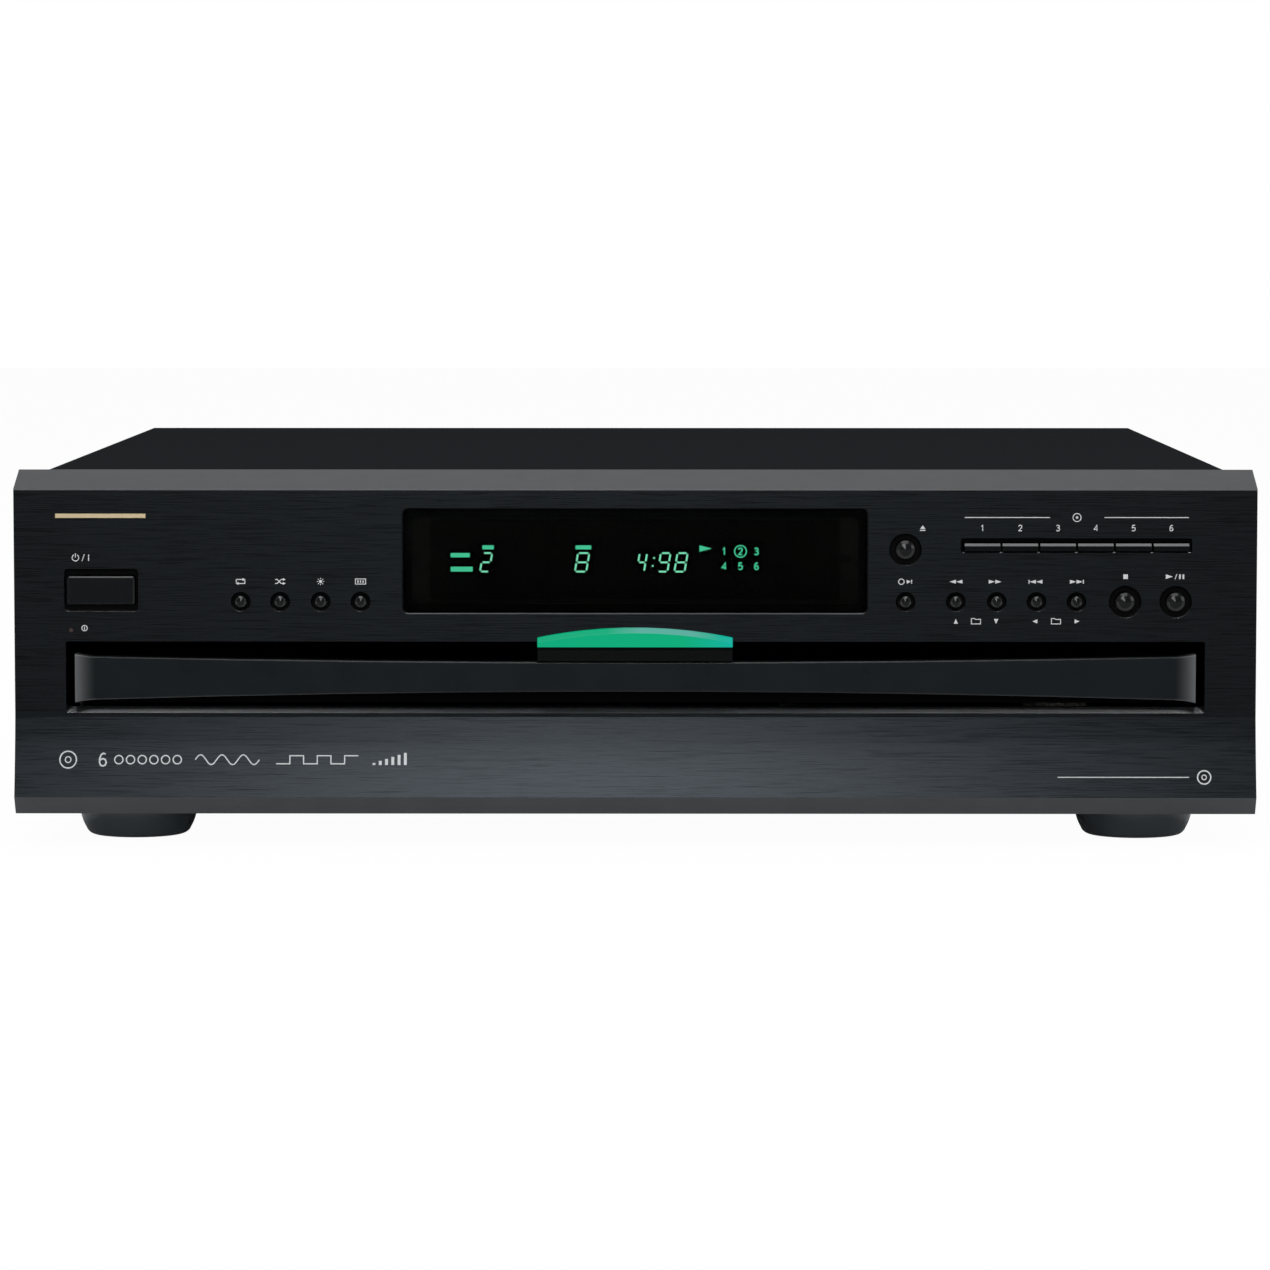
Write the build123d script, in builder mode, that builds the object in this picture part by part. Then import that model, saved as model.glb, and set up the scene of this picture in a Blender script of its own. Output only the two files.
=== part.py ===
from build123d import *

import os
from math import atan2, cos, degrees, hypot, pi, radians, sin, tan

os.makedirs("parts", exist_ok=True)

# Six-disc carousel changer. X is to the right seen from the front, +Y to the back, +Z up.
# The origin is at the bottom centre of the whole object. All sizes are in millimetres.

# Overall sizes
WIDTH = 435.0
DEPTH = 434.0
HEIGHT = 132.0
FOOT_HEIGHT = 12.0
COVER_WIDTH = 421.0
SOCKET_REACH = 8.0

# Clearances
GAP = 0.3
SHAFT_FIT = 0.05
PIVOT_GAP = 0.1
CUT = 1.0

# Front panel
PLATE_T = 2.5
FRAME_T = 3.0
FRAME_DEPTH = 18.0
BEVEL_DROP = 6.5
BEVEL_DEPTH = 17.0
FLARE = 5.0
FLARE_TOP = 46.0
FLARE_HOLLOW = 0.5
BEVEL_LAND = 0.5
BEVEL_ROUND = 0.4
OPENING_EDGE = 0.3
RIB_COUNT = 6
BOSS_OD = 5.0
BOSS_INSET = 4.0
BOSS_X = (-155.0, -88.0, 88.0, 205.0)
LOWER_BEVEL_RISE = 6.1
LOWER_BEVEL_DEPTH = 4.0
SEAT = 3.0

# Display
WINDOW_W = 162.4
WINDOW_Z = (82.6, 118.9)
WINDOW_R = 2.0
WINDOW_T = 2.0
WINDOW_EDGE = 0.3
TUBE_W = 144.0
TUBE_H = 28.0
TUBE_T = 7.0
TUBE_EDGE = 0.8
TUBE_TIP = (3.5, 4.0)

# Tray light in the middle, above the drawer
LIGHT_HALF = 34.2
LIGHT_Z = (70.6, 73.7, 77.2)
LIGHT_PROUD = 1.0
LIGHT_BACK = 4.0
HOLDER_Z = 65.6
HOLDER_STEP = 1.1
HOLDER_LEDGE = 1.0
HOLDER_WALL_TOP = 82.0
HOLDER_WALL_T = 2.5
LIGHT_FACET = (0.9, 1.6)

# Controls: recess in the plate, cap, and how far each one is pressed
SMALL_RECESS = 6.3
SMALL_CAP = 3.9
LARGE_RECESS = 10.8
LARGE_CAP = 6.4
PRESS = 0.8
POWER_PRESS = 2.0
CAP_PROUD = 1.0
CAP_CONE = 0.35
CAP_RIM = 0.68
CAP_SIDE = 0.1
FLANGE_T = 1.2
FLANGE_LIP = 1.2
POWER_FLANGE_LIP = 1.5
STEM_D = 3.0
POWER_X = -187.0
POWER_Z = 90.5
POWER_CAP = (23.5, 9.8)
POWER_RECESS = (25.3, 14.3)
POWER_CAP_R = 0.8
POWER_RECESS_R = 1.0
POWER_EDGE = 0.5
KEY_FIRST_X = 121.4
KEY_PITCH = 13.2
KEY_CAP = (12.4, 2.6)
KEY_Z = 105.8
KEY_PROUD = 2.5
KEY_SLOT = (80.2, 4.5)
KEY_SLOT_RISE = 0.45
KEY_SLOT_R = 0.5
KEY_EDGE = 0.9
KEY_FLANGE_LIP = 2.5
KEY_COUNT = 6
LAMP_X = -197.6
LAMP_Z = 76.5
LAMP_D = 1.5
LAMP_FLANGE_D = 3.5
LAMP_PROUD = 0.2
ROW_Z = 86.5
SMALL_BUTTONS = {
    "button_repeat": (-138.1, ROW_Z),
    "button_random": (-124.3, ROW_Z),
    "button_dimmer": (-110.1, ROW_Z),
    "button_display": (-96.1, ROW_Z),
    "button_disc_skip": (94.7, ROW_Z),
    "button_search_back": (112.3, ROW_Z),
    "button_search_forward": (126.6, ROW_Z),
    "button_track_back": (140.5, ROW_Z),
    "button_track_forward": (154.5, ROW_Z),
}
LARGE_BUTTONS = {
    "button_open_close": (94.6, 104.8),
    "button_stop": (171.5, ROW_Z),
    "button_play_pause": (189.2, ROW_Z),
}

# Front board and its switches
BOARD_T = 1.6
BOARD_BACK = 15.0
BOARD_BOTTOM = 74.5
BOARD_TOP = 121.0
BOARD_SIDE_GAP = 1.0
BOARD_NOTCH = 8.0
SWITCH_SIZE = 6.0
SWITCH_T = 3.0
PLUNGER_D = 3.4
PLUNGER_T = 1.0

# Discs and carousel
WELL_D = 121.5
WELL_WEB = 4.5
WELL_DEPTH = 2.5
WELL_COUNT = 6
PARK_GAP = 0.6
RAISED_GAP = 0.5
SMALL_DISC_D = 81.0
SMALL_DISC_DEPTH = 0.8
CAROUSEL_TOP = 62.0
CAROUSEL_FLOOR = 2.0
CAROUSEL_RIM = 2.2
SKIRT_DROP = 2.5
SLOT_W = 50.0
HUB_R = 44.0
AXLE_HEAD_D = 20.0
AXLE_HEAD_T = 1.4
BOSS_RISE = 0.7
PAD_INSET = 36.0
PAD_D = 8.0
PAD_TAPER = 8.0
GEAR_WEB_R = 8.0
GEAR_WEB_HOLE = 5.0
HUB_RISE = 1.2
HUB_TAPER = 40.0
AXLE_D = 10.0
AXLE_TAIL_D = 8.0
AXLE_LIFT = 0.2
AXLE_EDGE = 0.5
BOSS_D = 26.0
RING_MODULE = 1.5
RING_INSET = 66.0
RING_WALL = 4.0
GEAR_TEETH = 20
GEAR_FACE = 3.4
GEAR_DIRECTION = 65.0
GEAR_SHAFT_D = 3.0
GEAR_SHAFT_HOLE = 5.0
GEAR_MOTOR_D = 22.0
GEAR_MOTOR_H = 13.0

# Teeth: height above and below the pitch line in modules, play on each flank, flank slopes
ADDENDUM = 0.8
DEDENDUM = 1.1
BACKLASH = 0.25
TIP_SLOPE = tan(radians(26))
ROOT_SLOPE = tan(radians(12))

# Drawer
DRAWER_TRAVEL = 235.0
TRAY_FLOOR_Z = 50.5
TRAY_FLOOR = 2.0
TRAY_TOP = 63.5
TRAY_WALL = 2.5
TRAY_BASIN_GAP = 2.0
TRAY_SIDE = 1.6
TRAY_FRONT_GAP = 6.5
TRAY_CORNER_R = 6.0
TRAY_INNER_R = 3.0
LIFT_BAY_W = 120.0
BAR_T = 5.7
BAR_SIDE = 1.3
BAR_END_Z = (51.9, 67.2)
BAR_MIDDLE_Z = (54.8, 65.2)
BAR_TIP = 7.0
BAR_TIP_RISE = 1.4
BAR_TIP_FLARE = 0.9
BAR_EDGE = 0.4
SLOT_SIDE = 3.2
SLOT_Z = (49.5, 72.5)
SLOT_LIP = 2.1
SLOT_R = 0.8

# Drawer drive
RACK_MODULE = 1.5
PINION_TEETH = 14
PINION_INSET = 45.05
PINION_SETBACK = 37.0
PINION_TOP = 52.3
PINION_BORE = 6.0
RACK_DEPTH = 2.6
RACK_BAR = 4.0
RACK_RISE = 0.4
RACK_SPARE_TEETH = 6
RACK_LEAD_TEETH = 2.5
PULLEY_R = 15.0
PULLEY_T = 5.0
PULLEY_Z = 40.0
MOTOR_PULLEY_R = 4.5
MOTOR_SHAFT_D = 2.0
BELT_SPAN = 42.0
BELT_T = 1.2
BELT_H = 2.0
BELT_GAP = 0.3
MOTOR_D = 21.0
MOTOR_H = 17.0
MOTOR_EDGE = 1.5
BRACKET_T = 2.0
LEG_T = 6.0
LEG_R = 1.5
BRACKET_MARGIN = 3.0
BRACKET_GAP = 1.0
MOTOR_SHAFT_ROOM = 2.0
AXLE_BELOW_PINION = 0.4
GROOVE_RISE = 0.2

# Rails
RAIL_T = 1.5
RAIL_SHELF = 10.0
RAIL_LIP = 7.0
RAIL_FOOT = 9.0
RAIL_LENGTH = 380.0
RAIL_SIDE_GAP = 0.5
RAIL_WINDOWS = 5
RAIL_WINDOW = (47.5, 14.0)

# Lift with the drive unit
LIFT_TRAVEL = 11.0
LIFT_T = 4.0
LIFT_SIDE = 3.5
LIFT_FRONT = 32.0
LIFT_BACK = 79.0
LIFT_WALL = 3.0
LIFT_WALL_DROP = 18.0
LIFT_CORNER_R = 4.0
ROD_SEAT = 2.0
POST_D = 4.0
POST_X = 50.0
POST_INSET = 6.0
PIN_D = 3.0
PIN_Z = 30.5
PIN_X = (-26.0, 14.0)
CAM_T = 2.0
CAM_Z = (24.0, 48.0)
CAM_RUN = 22.0
CAM_MARGIN = 8.0
BASE_T = 3.0
BASE_WALL = 2.0
BASE_CORNER_R = 4.0
BASE_RIM = (16.0, 14.0, 8.0)
LEDGE_LIP = 3.0
BASE_WALL_INSET = 4.0
POST_FOOT_RISE = 2.0
WALL_GAP = 3.0
CAM_CORNER_R = 2.0
PLATTER_R = 15.0
PLATTER_T = 2.4
CONE_R = 7.3
CONE_RISE = 1.8
SPINDLE_D = 2.0
SPINDLE_HOLE = 6.0
PLATTER_NECK_R = 4.5
PLATTER_CLEAR = 1.2
CONE_SLOPE = 1.3
SPINDLE_MOTOR_D = 22.0
SPINDLE_MOTOR_H = 10.0
ROD_D = 3.0
ROD_X = 18.0
LENS_START = 23.0
LENS_TRAVEL = 35.0
LENS_D = 8.0
LENS_BELOW_DISC = 1.3
LENS_HEIGHT = 1.8
LENS_TAPER = 20.0
PICKUP_CORNER_R = 3.0
PICKUP_EDGE = 1.0
PICKUP_BODY = (30.0, 20.0)
PICKUP_BELOW_ROD = 3.1
PICKUP_EAR = (44.0, 12.0)
PICKUP_EAR_T = 5.2
PICKUP_BAY_W = 46.0
PICKUP_BAY_GAP = 2.0

# Clamp
DISC_T = 1.2
CLAMP_GAP = 0.3
PUCK_R = 15.0
PUCK_T = 3.5
PUCK_NECK_R = 6.0
PUCK_FLANGE_R = 10.0
PUCK_FLANGE_T = 2.0
BRIDGE_T = 1.5
BRIDGE_W = 36.0
BRIDGE_Z = 70.0
BRIDGE_RAMP = 14.0
BRIDGE_FLANGE = 5.0
PUCK_PLAY = 0.5
PUCK_RECESS_GAP = 0.8

# Case
SHEET = 1.0
COVER_RIB = (267.0, 3.0, 0.8)
BASE_LIFT = 1.5
BASE_FLANGE = 12.0
FOOT_TOP_D = 42.0
FOOT_BOTTOM_D = 34.5
FOOT_HEEL = (1.5, 2.2)
FOOT_ROUND = (0.4, 0.7)
FOOT_X = 178.8
FOOT_SETBACK = 45.0
REAR_FOOT_INSET = 44.0
SCREW_HEAD_D = 7.0
SCREW_HEAD_T = 1.8
SIDE_SCREW_Z = 32.0
SIDE_SCREW_INSET = 45.0
BACK_SCREW_X = 167.6
SCREW_EDGE = 0.7
LIP_DROP = 9.0
COVER_BEND = 2.0
FRONT_FLANGE_GAP = 5.0
VENT_SIZE = (24.0, 3.0)
VENT_PITCH = 9.0
VENT_COUNT = 14
REAR_VENT_Z = 57.5

# Sockets on the back
AUDIO_X = (148.0, 166.0)
AUDIO_Z = (62.0, 80.0)
AUDIO_SHELL_D = 8.3
AUDIO_PIN_D = 3.4
JACK_HOLE_D = 10.3
JACK_COLLAR_D = 11.5
JACK_COLLAR_T = 1.0
JACK_BODY_MARGIN = 9.0
REMOTE_BODY_MARGIN = 6.0
COAX_X = 124.0
OPTICAL_X = 102.0
OPTICAL_SIZE = (13.0, 15.0)
OPTICAL_NECK = (11.0, 13.0)
OPTICAL_MOUTH = (8.0, 9.0)
OPTICAL_MOUTH_DEPTH = 1.2
OPTICAL_PROUD = 1.5
REMOTE_X = (66.0, 80.0)
REMOTE_Z = 62.0
REMOTE_BORE_D = 3.6
REMOTE_LENGTH = 12.0
INLET_X = -168.0
INLET_Z = 70.0
INLET_SIZE = (24.0, 17.0)
INLET_R = 4.0
INLET_NECK = (20.0, 13.0)
INLET_NECK_R = 3.0
INLET_FLOOR = 2.0
INLET_PIN_SETBACK = 3.0
INLET_WAIST = 7.4
INLET_POCKET = (15.6, 8.6)
INLET_DEPTH = 13.0
INLET_PIN_D = 2.4
INLET_PIN_PITCH = 8.6
INLET_FLANGE = 2.0
JACK_BODY_T = 12.0
REMOTE_PROUD = 2.5

# Mains transformer and main board
TRANSFORMER_SIDE = 45.05
TRANSFORMER_SIZE = (54.0, 46.0, 30.0)
COIL_SIZE = (34.0, 58.0, 22.0)
COIL_R = 4.0
TRANSFORMER_STRAP = (68.0, 12.0)
CORE_STACK = 27.6
BOARD_W = 150.0
BOARD_LIFT_GAP = 50.0
MAIN_BOARD_X = -5.0
MAIN_BOARD_INSET = 40.0
MAIN_BOARD_Z = 22.0
SPACER_INSET = 6.0
SPACER_D = 6.0
CAPACITOR_AT = (-50.0, 50.0)
CAPACITOR_PITCH = 17.0
CAPACITOR_D = 10.0
CAPACITOR_H = 20.0
CHIPS = ((-10.0, -10.0, 20.0, 20.0), (-50.0, -40.0, 12.0, 24.0), (30.0, -20.0, 10.0, 28.0))
CHIP_T = 2.5
HEAT_SINK_AT = (-10.0, 60.0)
HEAT_SINK_W = 34.0
HEAT_SINK_T = 3.0
HEAT_SINK_H = 16.0
FIN_PITCH = 6.0
FIN_COUNT = 6
FIN_T = 1.6
FIN_L = 14.0
TRANSFORMER_INSET = 60.0

# Places worked out from the sizes
FLARE_Y = -DEPTH / 2
FACE_Y = FLARE_Y + FLARE
REAR_Y = DEPTH / 2 - SOCKET_REACH
BEVEL_Z = HEIGHT - BEVEL_DROP
LOWER_BEVEL_Z = FOOT_HEIGHT + LOWER_BEVEL_RISE
PLATE_BACK = FACE_Y + PLATE_T
FRAME_FRONT_BACK = PLATE_BACK + FRAME_T
FRAME_BACK = FACE_Y + FRAME_DEPTH
CASE_FRONT = FRAME_BACK
BASE_Z = FOOT_HEIGHT + BASE_LIFT
DECK_Z = BASE_Z + SHEET
CASE_HALF = COVER_WIDTH / 2 - SHEET
COVER_TOP = HEIGHT - COVER_RIB[2]
REAR_PANEL_Y = REAR_Y - 2 * SHEET
REMOTE_TIP = REAR_PANEL_Y + SHEET + REMOTE_PROUD

WELL_RING = WELL_D + WELL_WEB
CAROUSEL_R = WELL_RING + WELL_D / 2 + CAROUSEL_RIM
WELL_FLOOR_Z = CAROUSEL_TOP - WELL_DEPTH
CAROUSEL_UNDER = WELL_FLOOR_Z - CAROUSEL_FLOOR
SKIRT_Z = CAROUSEL_UNDER - SKIRT_DROP
BASIN_R = CAROUSEL_R + TRAY_BASIN_GAP
TRAY_HALF = BASIN_R + TRAY_SIDE + TRAY_WALL
TRAY_DECK_Z = TRAY_FLOOR_Z + TRAY_FLOOR
TRAY_FRONT = FACE_Y + TRAY_FRONT_GAP
CAROUSEL_Y = TRAY_FRONT + TRAY_WALL + BASIN_R + TRAY_SIDE
TRAY_BACK = CAROUSEL_Y + BASIN_R + TRAY_WALL
SPINDLE_Y = CAROUSEL_Y + WELL_RING
BAR_HALF = TRAY_HALF + BAR_SIDE
SLOT_HALF = BAR_HALF + SLOT_SIDE
TRANSFORMER_X = TRANSFORMER_SIDE - TRAY_HALF

RING_TEETH = 4 * int((WELL_RING - RING_INSET) / (2 * RING_MODULE))
RING_PITCH_R = RING_MODULE * RING_TEETH / 2
GEAR_PITCH_R = RING_MODULE * GEAR_TEETH / 2
GEAR_CENTRES = RING_PITCH_R + GEAR_PITCH_R
GEAR_X = GEAR_CENTRES * cos(radians(GEAR_DIRECTION))
GEAR_Y = CAROUSEL_Y + GEAR_CENTRES * sin(radians(GEAR_DIRECTION))
GEAR_Z = TRAY_DECK_Z + BOSS_RISE
AXLE_HEAD_Z = CAROUSEL_TOP + AXLE_LIFT

PINION_X = TRAY_HALF - PINION_INSET
PINION_R = RACK_MODULE * PINION_TEETH / 2
PINION_Y = FACE_Y + PINION_SETBACK
RACK_LINE = PINION_X + PINION_R

PLATTER_TOP = SKIRT_Z - PARK_GAP - CONE_RISE
PICKUP_TOP = PLATTER_TOP - LENS_BELOW_DISC
LIFT_TOP = SKIRT_Z - LIFT_TRAVEL - RAISED_GAP
ROD_Z = LIFT_TOP - LIFT_T / 2
POST_TOP = SKIRT_Z - PARK_GAP
LIFT_FRONT_Y = SPINDLE_Y - LIFT_FRONT
LIFT_BACK_Y = SPINDLE_Y + LIFT_BACK
LIFT_HALF = LIFT_BAY_W / 2 - LIFT_SIDE
BASE_WALL_Y = LIFT_FRONT_Y - WALL_GAP
CAM_Y = BASE_WALL_Y - GAP - CAM_T
BAY_FRONT = CAM_Y - WALL_GAP


def facing(y):
    """Plane of a front view at depth y: local x runs across and local y runs up."""
    return Plane.XZ.offset(-y)


def rect_between(x0, x1, y0, y1, radius=0.0):
    """Rectangle given by its edges, with rounded corners if a radius is given."""
    with Locations(((x0 + x1) / 2, (y0 + y1) / 2)):
        if radius:
            RectangleRounded(x1 - x0, y1 - y0, radius)
        else:
            Rectangle(x1 - x0, y1 - y0)


def disc_at(x, y, diameter):
    """Circle given by its centre and diameter."""
    with Locations((x, y)):
        Circle(diameter / 2)


def save(builder, label):
    """Give the finished piece its name and write it."""
    builder.part.label = label
    export_step(builder.part, f"parts/{label}.step")


def tooth_half_widths(module):
    """Half widths of a tooth at its root and its tip, thinned by the backlash."""
    pitch_half = pi * module / 4 - BACKLASH
    root_half = pitch_half + DEDENDUM * module * ROOT_SLOPE
    tip_half = pitch_half - ADDENDUM * module * TIP_SLOPE
    return root_half, tip_half


def gear_points(module, teeth, first_tooth):
    """Outline of a spur gear about the origin, with a tooth centred at the angle first_tooth."""
    root_half, tip_half = tooth_half_widths(module)
    root_r = module * (teeth / 2 - DEDENDUM)
    tip_r = module * (teeth / 2 + ADDENDUM)
    corners = [(root_r, -root_half), (tip_r, -tip_half), (tip_r, tip_half), (root_r, root_half)]
    points = []
    for tooth in range(teeth):
        middle = radians(first_tooth + 360 * tooth / teeth)
        for radius, half in corners:
            angle = middle + half / radius
            points.append((radius * cos(angle), radius * sin(angle)))
    return points


def rack_points(module, line_x, first_y, teeth, back_x):
    """Outline of a rack whose teeth point to -X, with its first tooth centred at first_y."""
    root_half, tip_half = tooth_half_widths(module)
    root_x = line_x + module * DEDENDUM
    tip_x = line_x - module * ADDENDUM
    points = [(back_x, first_y - pi * module)]
    points.append((root_x, first_y - pi * module))
    for tooth in range(teeth):
        middle = first_y + pi * module * tooth
        points.append((root_x, middle - root_half))
        points.append((tip_x, middle - tip_half))
        points.append((tip_x, middle + tip_half))
        points.append((root_x, middle + root_half))
    points.append((root_x, first_y + pi * module * teeth))
    points.append((back_x, first_y + pi * module * teeth))
    return points


def front_line(shift, top):
    """Front surface of the fascia in the side view, moved back by shift, from top downwards."""
    Line((FACE_Y + shift, top), (FACE_Y + shift, FLARE_TOP))
    middle_y = (FACE_Y + FLARE_Y) / 2 + FLARE_HOLLOW
    ThreePointArc(
        (FACE_Y + shift, FLARE_TOP),
        (middle_y + shift, (FLARE_TOP + LOWER_BEVEL_Z) / 2),
        (FLARE_Y + shift, LOWER_BEVEL_Z),
    )


def tray_light_outline(margin=0.0):
    """Front outline of the tray light, grown by margin: flat below, crowned above."""
    half = LIGHT_HALF + margin
    base, side, crown = LIGHT_Z[0] - margin, LIGHT_Z[1] + margin, LIGHT_Z[2] + margin
    Polyline((-half, side), (-half, base), (half, base), (half, side))
    ThreePointArc((half, side), (0, crown), (-half, side))


def plate_openings(edge):
    """Openings of the plate for the window, the buttons and the keys, each grown by edge."""
    half_window = WINDOW_W / 2 + PIVOT_GAP + edge
    rect_between(-half_window, half_window, WINDOW_Z[0] - PIVOT_GAP - edge,
                 WINDOW_Z[1] + PIVOT_GAP + edge, WINDOW_R + edge)
    with Locations((POWER_X, POWER_Z)):
        RectangleRounded(POWER_RECESS[0] + 2 * edge, POWER_RECESS[1] + 2 * edge,
                         POWER_RECESS_R + edge)
    with Locations((KEY_MIDDLE_X, KEY_Z + KEY_SLOT_RISE)):
        RectangleRounded(KEY_SLOT[0] + 2 * edge, KEY_SLOT[1] + 2 * edge, KEY_SLOT_R + edge)
    with Locations(*SMALL_BUTTONS.values()):
        Circle(SMALL_RECESS / 2 + edge)
    with Locations(*LARGE_BUTTONS.values()):
        Circle(LARGE_RECESS / 2 + edge)


KEY_X = [KEY_FIRST_X + KEY_PITCH * key for key in range(KEY_COUNT)]
KEY_MIDDLE_X = (KEY_X[0] + KEY_X[-1]) / 2

# Front plate: brushed sheet with all the openings of the front
with BuildPart() as front_plate:
    with BuildSketch(Plane.YZ):
        with BuildLine():
            front_line(0, BEVEL_Z)
            front_line(PLATE_T, BEVEL_Z)
            Line((FACE_Y, BEVEL_Z), (PLATE_BACK, BEVEL_Z))
            Line((FLARE_Y, LOWER_BEVEL_Z), (FLARE_Y + PLATE_T, LOWER_BEVEL_Z))
        make_face()
    extrude(amount=WIDTH / 2, both=True)
    with BuildSketch(facing(FLARE_Y)):
        plate_openings(0)
        rect_between(-SLOT_HALF, SLOT_HALF, SLOT_Z[0], SLOT_Z[1], SLOT_R)
        with BuildLine():
            tray_light_outline(GAP)
        make_face()
        disc_at(LAMP_X, LAMP_Z, LAMP_D + 2 * PIVOT_GAP)
    extrude(amount=-(FLARE + PLATE_T + CUT), mode=Mode.SUBTRACT)
    with BuildSketch(facing(FACE_Y)):
        plate_openings(OPENING_EDGE)
    extrude(amount=-OPENING_EDGE, taper=45, mode=Mode.SUBTRACT)
    with BuildSketch(facing(FACE_Y)):
        rect_between(-SLOT_HALF, SLOT_HALF, SLOT_Z[0] - SLOT_LIP, SLOT_Z[1], SLOT_R)
    with BuildSketch(facing(PLATE_BACK)):
        rect_between(-SLOT_HALF + SLOT_LIP, SLOT_HALF - SLOT_LIP, SLOT_Z[0], SLOT_Z[1], SLOT_R)
    loft(mode=Mode.SUBTRACT)
save(front_plate, "front_plate")

# Front frame: moulded shell with the sloped top bevel, open at the back
with BuildPart() as front_frame:
    with BuildSketch(Plane.YZ) as frame_outline:
        with BuildLine():
            front_line(PLATE_T, BEVEL_Z)
            Polyline(
                (PLATE_BACK, BEVEL_Z),
                (FACE_Y, BEVEL_Z),
                (FACE_Y, BEVEL_Z + BEVEL_LAND),
                (FACE_Y + BEVEL_DEPTH, HEIGHT),
                (FRAME_BACK, HEIGHT),
                (FRAME_BACK, FOOT_HEIGHT),
                (FLARE_Y + LOWER_BEVEL_DEPTH, FOOT_HEIGHT),
                (FLARE_Y, LOWER_BEVEL_Z),
                (FLARE_Y + PLATE_T, LOWER_BEVEL_Z),
            )
        make_face()
        land_top = Vector(FACE_Y, BEVEL_Z + BEVEL_LAND)
        fillet(frame_outline.vertices().sort_by_distance(land_top)[0], BEVEL_ROUND)
    extrude(amount=WIDTH / 2, both=True)
    with BuildSketch(Plane.YZ):
        bevel_slope = (BEVEL_DROP - BEVEL_LAND) / BEVEL_DEPTH
        roof_front = BEVEL_Z - FRAME_T + bevel_slope * (FRAME_FRONT_BACK - FACE_Y)
        with BuildLine():
            front_line(PLATE_T + FRAME_T, roof_front)
            Polyline(
                (FLARE_Y + PLATE_T + FRAME_T, LOWER_BEVEL_Z),
                (FLARE_Y + PLATE_T + FRAME_T, FOOT_HEIGHT + FRAME_T),
                (FRAME_BACK + CUT, FOOT_HEIGHT + FRAME_T),
                (FRAME_BACK + CUT, HEIGHT - FRAME_T),
                (FACE_Y + BEVEL_DEPTH, HEIGHT - FRAME_T),
                (FRAME_FRONT_BACK, roof_front),
            )
        make_face()
    extrude(amount=CASE_HALF, both=True, mode=Mode.SUBTRACT)
    with BuildSketch(facing(FRAME_FRONT_BACK)):
        rib_top = SLOT_Z[0] - SLOT_LIP
        with GridLocations(WIDTH / (RIB_COUNT + 1), 1, RIB_COUNT, 1):
            with Locations((0, (rib_top + FOOT_HEIGHT) / 2)):
                Rectangle(FRAME_T, rib_top - FOOT_HEIGHT)
    extrude(amount=-(FRAME_DEPTH - PLATE_T - 2 * FRAME_T))
    with BuildSketch(facing(FRAME_FRONT_BACK)):
        for boss_x in BOSS_X:
            for boss_z in (BOARD_BOTTOM + BOSS_INSET, BOARD_TOP - BOSS_INSET):
                disc_at(boss_x, boss_z, BOSS_OD)
    extrude(amount=-(BOARD_BACK - PLATE_T - FRAME_T))
    with BuildSketch(facing(FLARE_Y)):
        rect_between(-WINDOW_W / 2 + SEAT, WINDOW_W / 2 - SEAT,
                     WINDOW_Z[0] + SEAT, WINDOW_Z[1] - SEAT, WINDOW_R)
        rect_between(-SLOT_HALF, SLOT_HALF, SLOT_Z[0], SLOT_Z[1], SLOT_R)
        with BuildLine():
            tray_light_outline(GAP)
        make_face()
        with Locations((POWER_X, POWER_Z)):
            RectangleRounded(POWER_CAP[0] + 2 * GAP, POWER_CAP[1] + 2 * GAP, POWER_CAP_R)
        with Locations((KEY_MIDDLE_X, KEY_Z)):
            Rectangle(KEY_PITCH * (KEY_COUNT - 1) + KEY_CAP[0] + 2 * GAP, KEY_CAP[1] + 2 * GAP)
        with Locations(*SMALL_BUTTONS.values()):
            Circle(SMALL_CAP / 2 + GAP)
        with Locations(*LARGE_BUTTONS.values()):
            Circle(LARGE_CAP / 2 + GAP)
        disc_at(LAMP_X, LAMP_Z, LAMP_D)
    extrude(amount=-(FRAME_T + FLARE + PLATE_T + CUT), mode=Mode.SUBTRACT)
save(front_frame, "front_frame")

# Display window: clear black pane set a little behind the face of the plate
with BuildPart() as display_window:
    with BuildSketch(facing(PLATE_BACK)):
        rect_between(-WINDOW_W / 2, WINDOW_W / 2, WINDOW_Z[0], WINDOW_Z[1], WINDOW_R)
    extrude(amount=WINDOW_T)
    chamfer(display_window.edges().group_by(Axis.Y)[0], WINDOW_EDGE)
save(display_window, "display_window")

# Front board: circuit board behind the frame, seated on its posts
BOARD_FRONT = FACE_Y + BOARD_BACK
with BuildPart() as front_board:
    with BuildSketch(facing(BOARD_FRONT)):
        board_half = CASE_HALF - BOARD_SIDE_GAP
        rect_between(-board_half, board_half, BOARD_BOTTOM, BOARD_TOP)
        with Locations((-board_half, BOARD_TOP), (board_half, BOARD_TOP)):
            Rectangle(BOARD_NOTCH, BOARD_NOTCH, mode=Mode.SUBTRACT)
    extrude(amount=-BOARD_T)
save(front_board, "front_board")

# Display tube: flat glass envelope with its sealed tip, on the front board
with BuildPart() as display_tube:
    window_middle = (WINDOW_Z[0] + WINDOW_Z[1]) / 2
    with BuildSketch(facing(BOARD_FRONT)):
        rect_between(-TUBE_W / 2, TUBE_W / 2,
                     window_middle - TUBE_H / 2, window_middle + TUBE_H / 2)
    extrude(amount=TUBE_T)
    chamfer(display_tube.edges().group_by(Axis.Y)[0], TUBE_EDGE)
    with BuildSketch(Plane.YZ.offset(TUBE_W / 2)):
        disc_at(BOARD_FRONT - TUBE_T / 2, window_middle, TUBE_TIP[0])
    extrude(amount=TUBE_TIP[1], taper=12)
save(display_tube, "display_tube")

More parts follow.
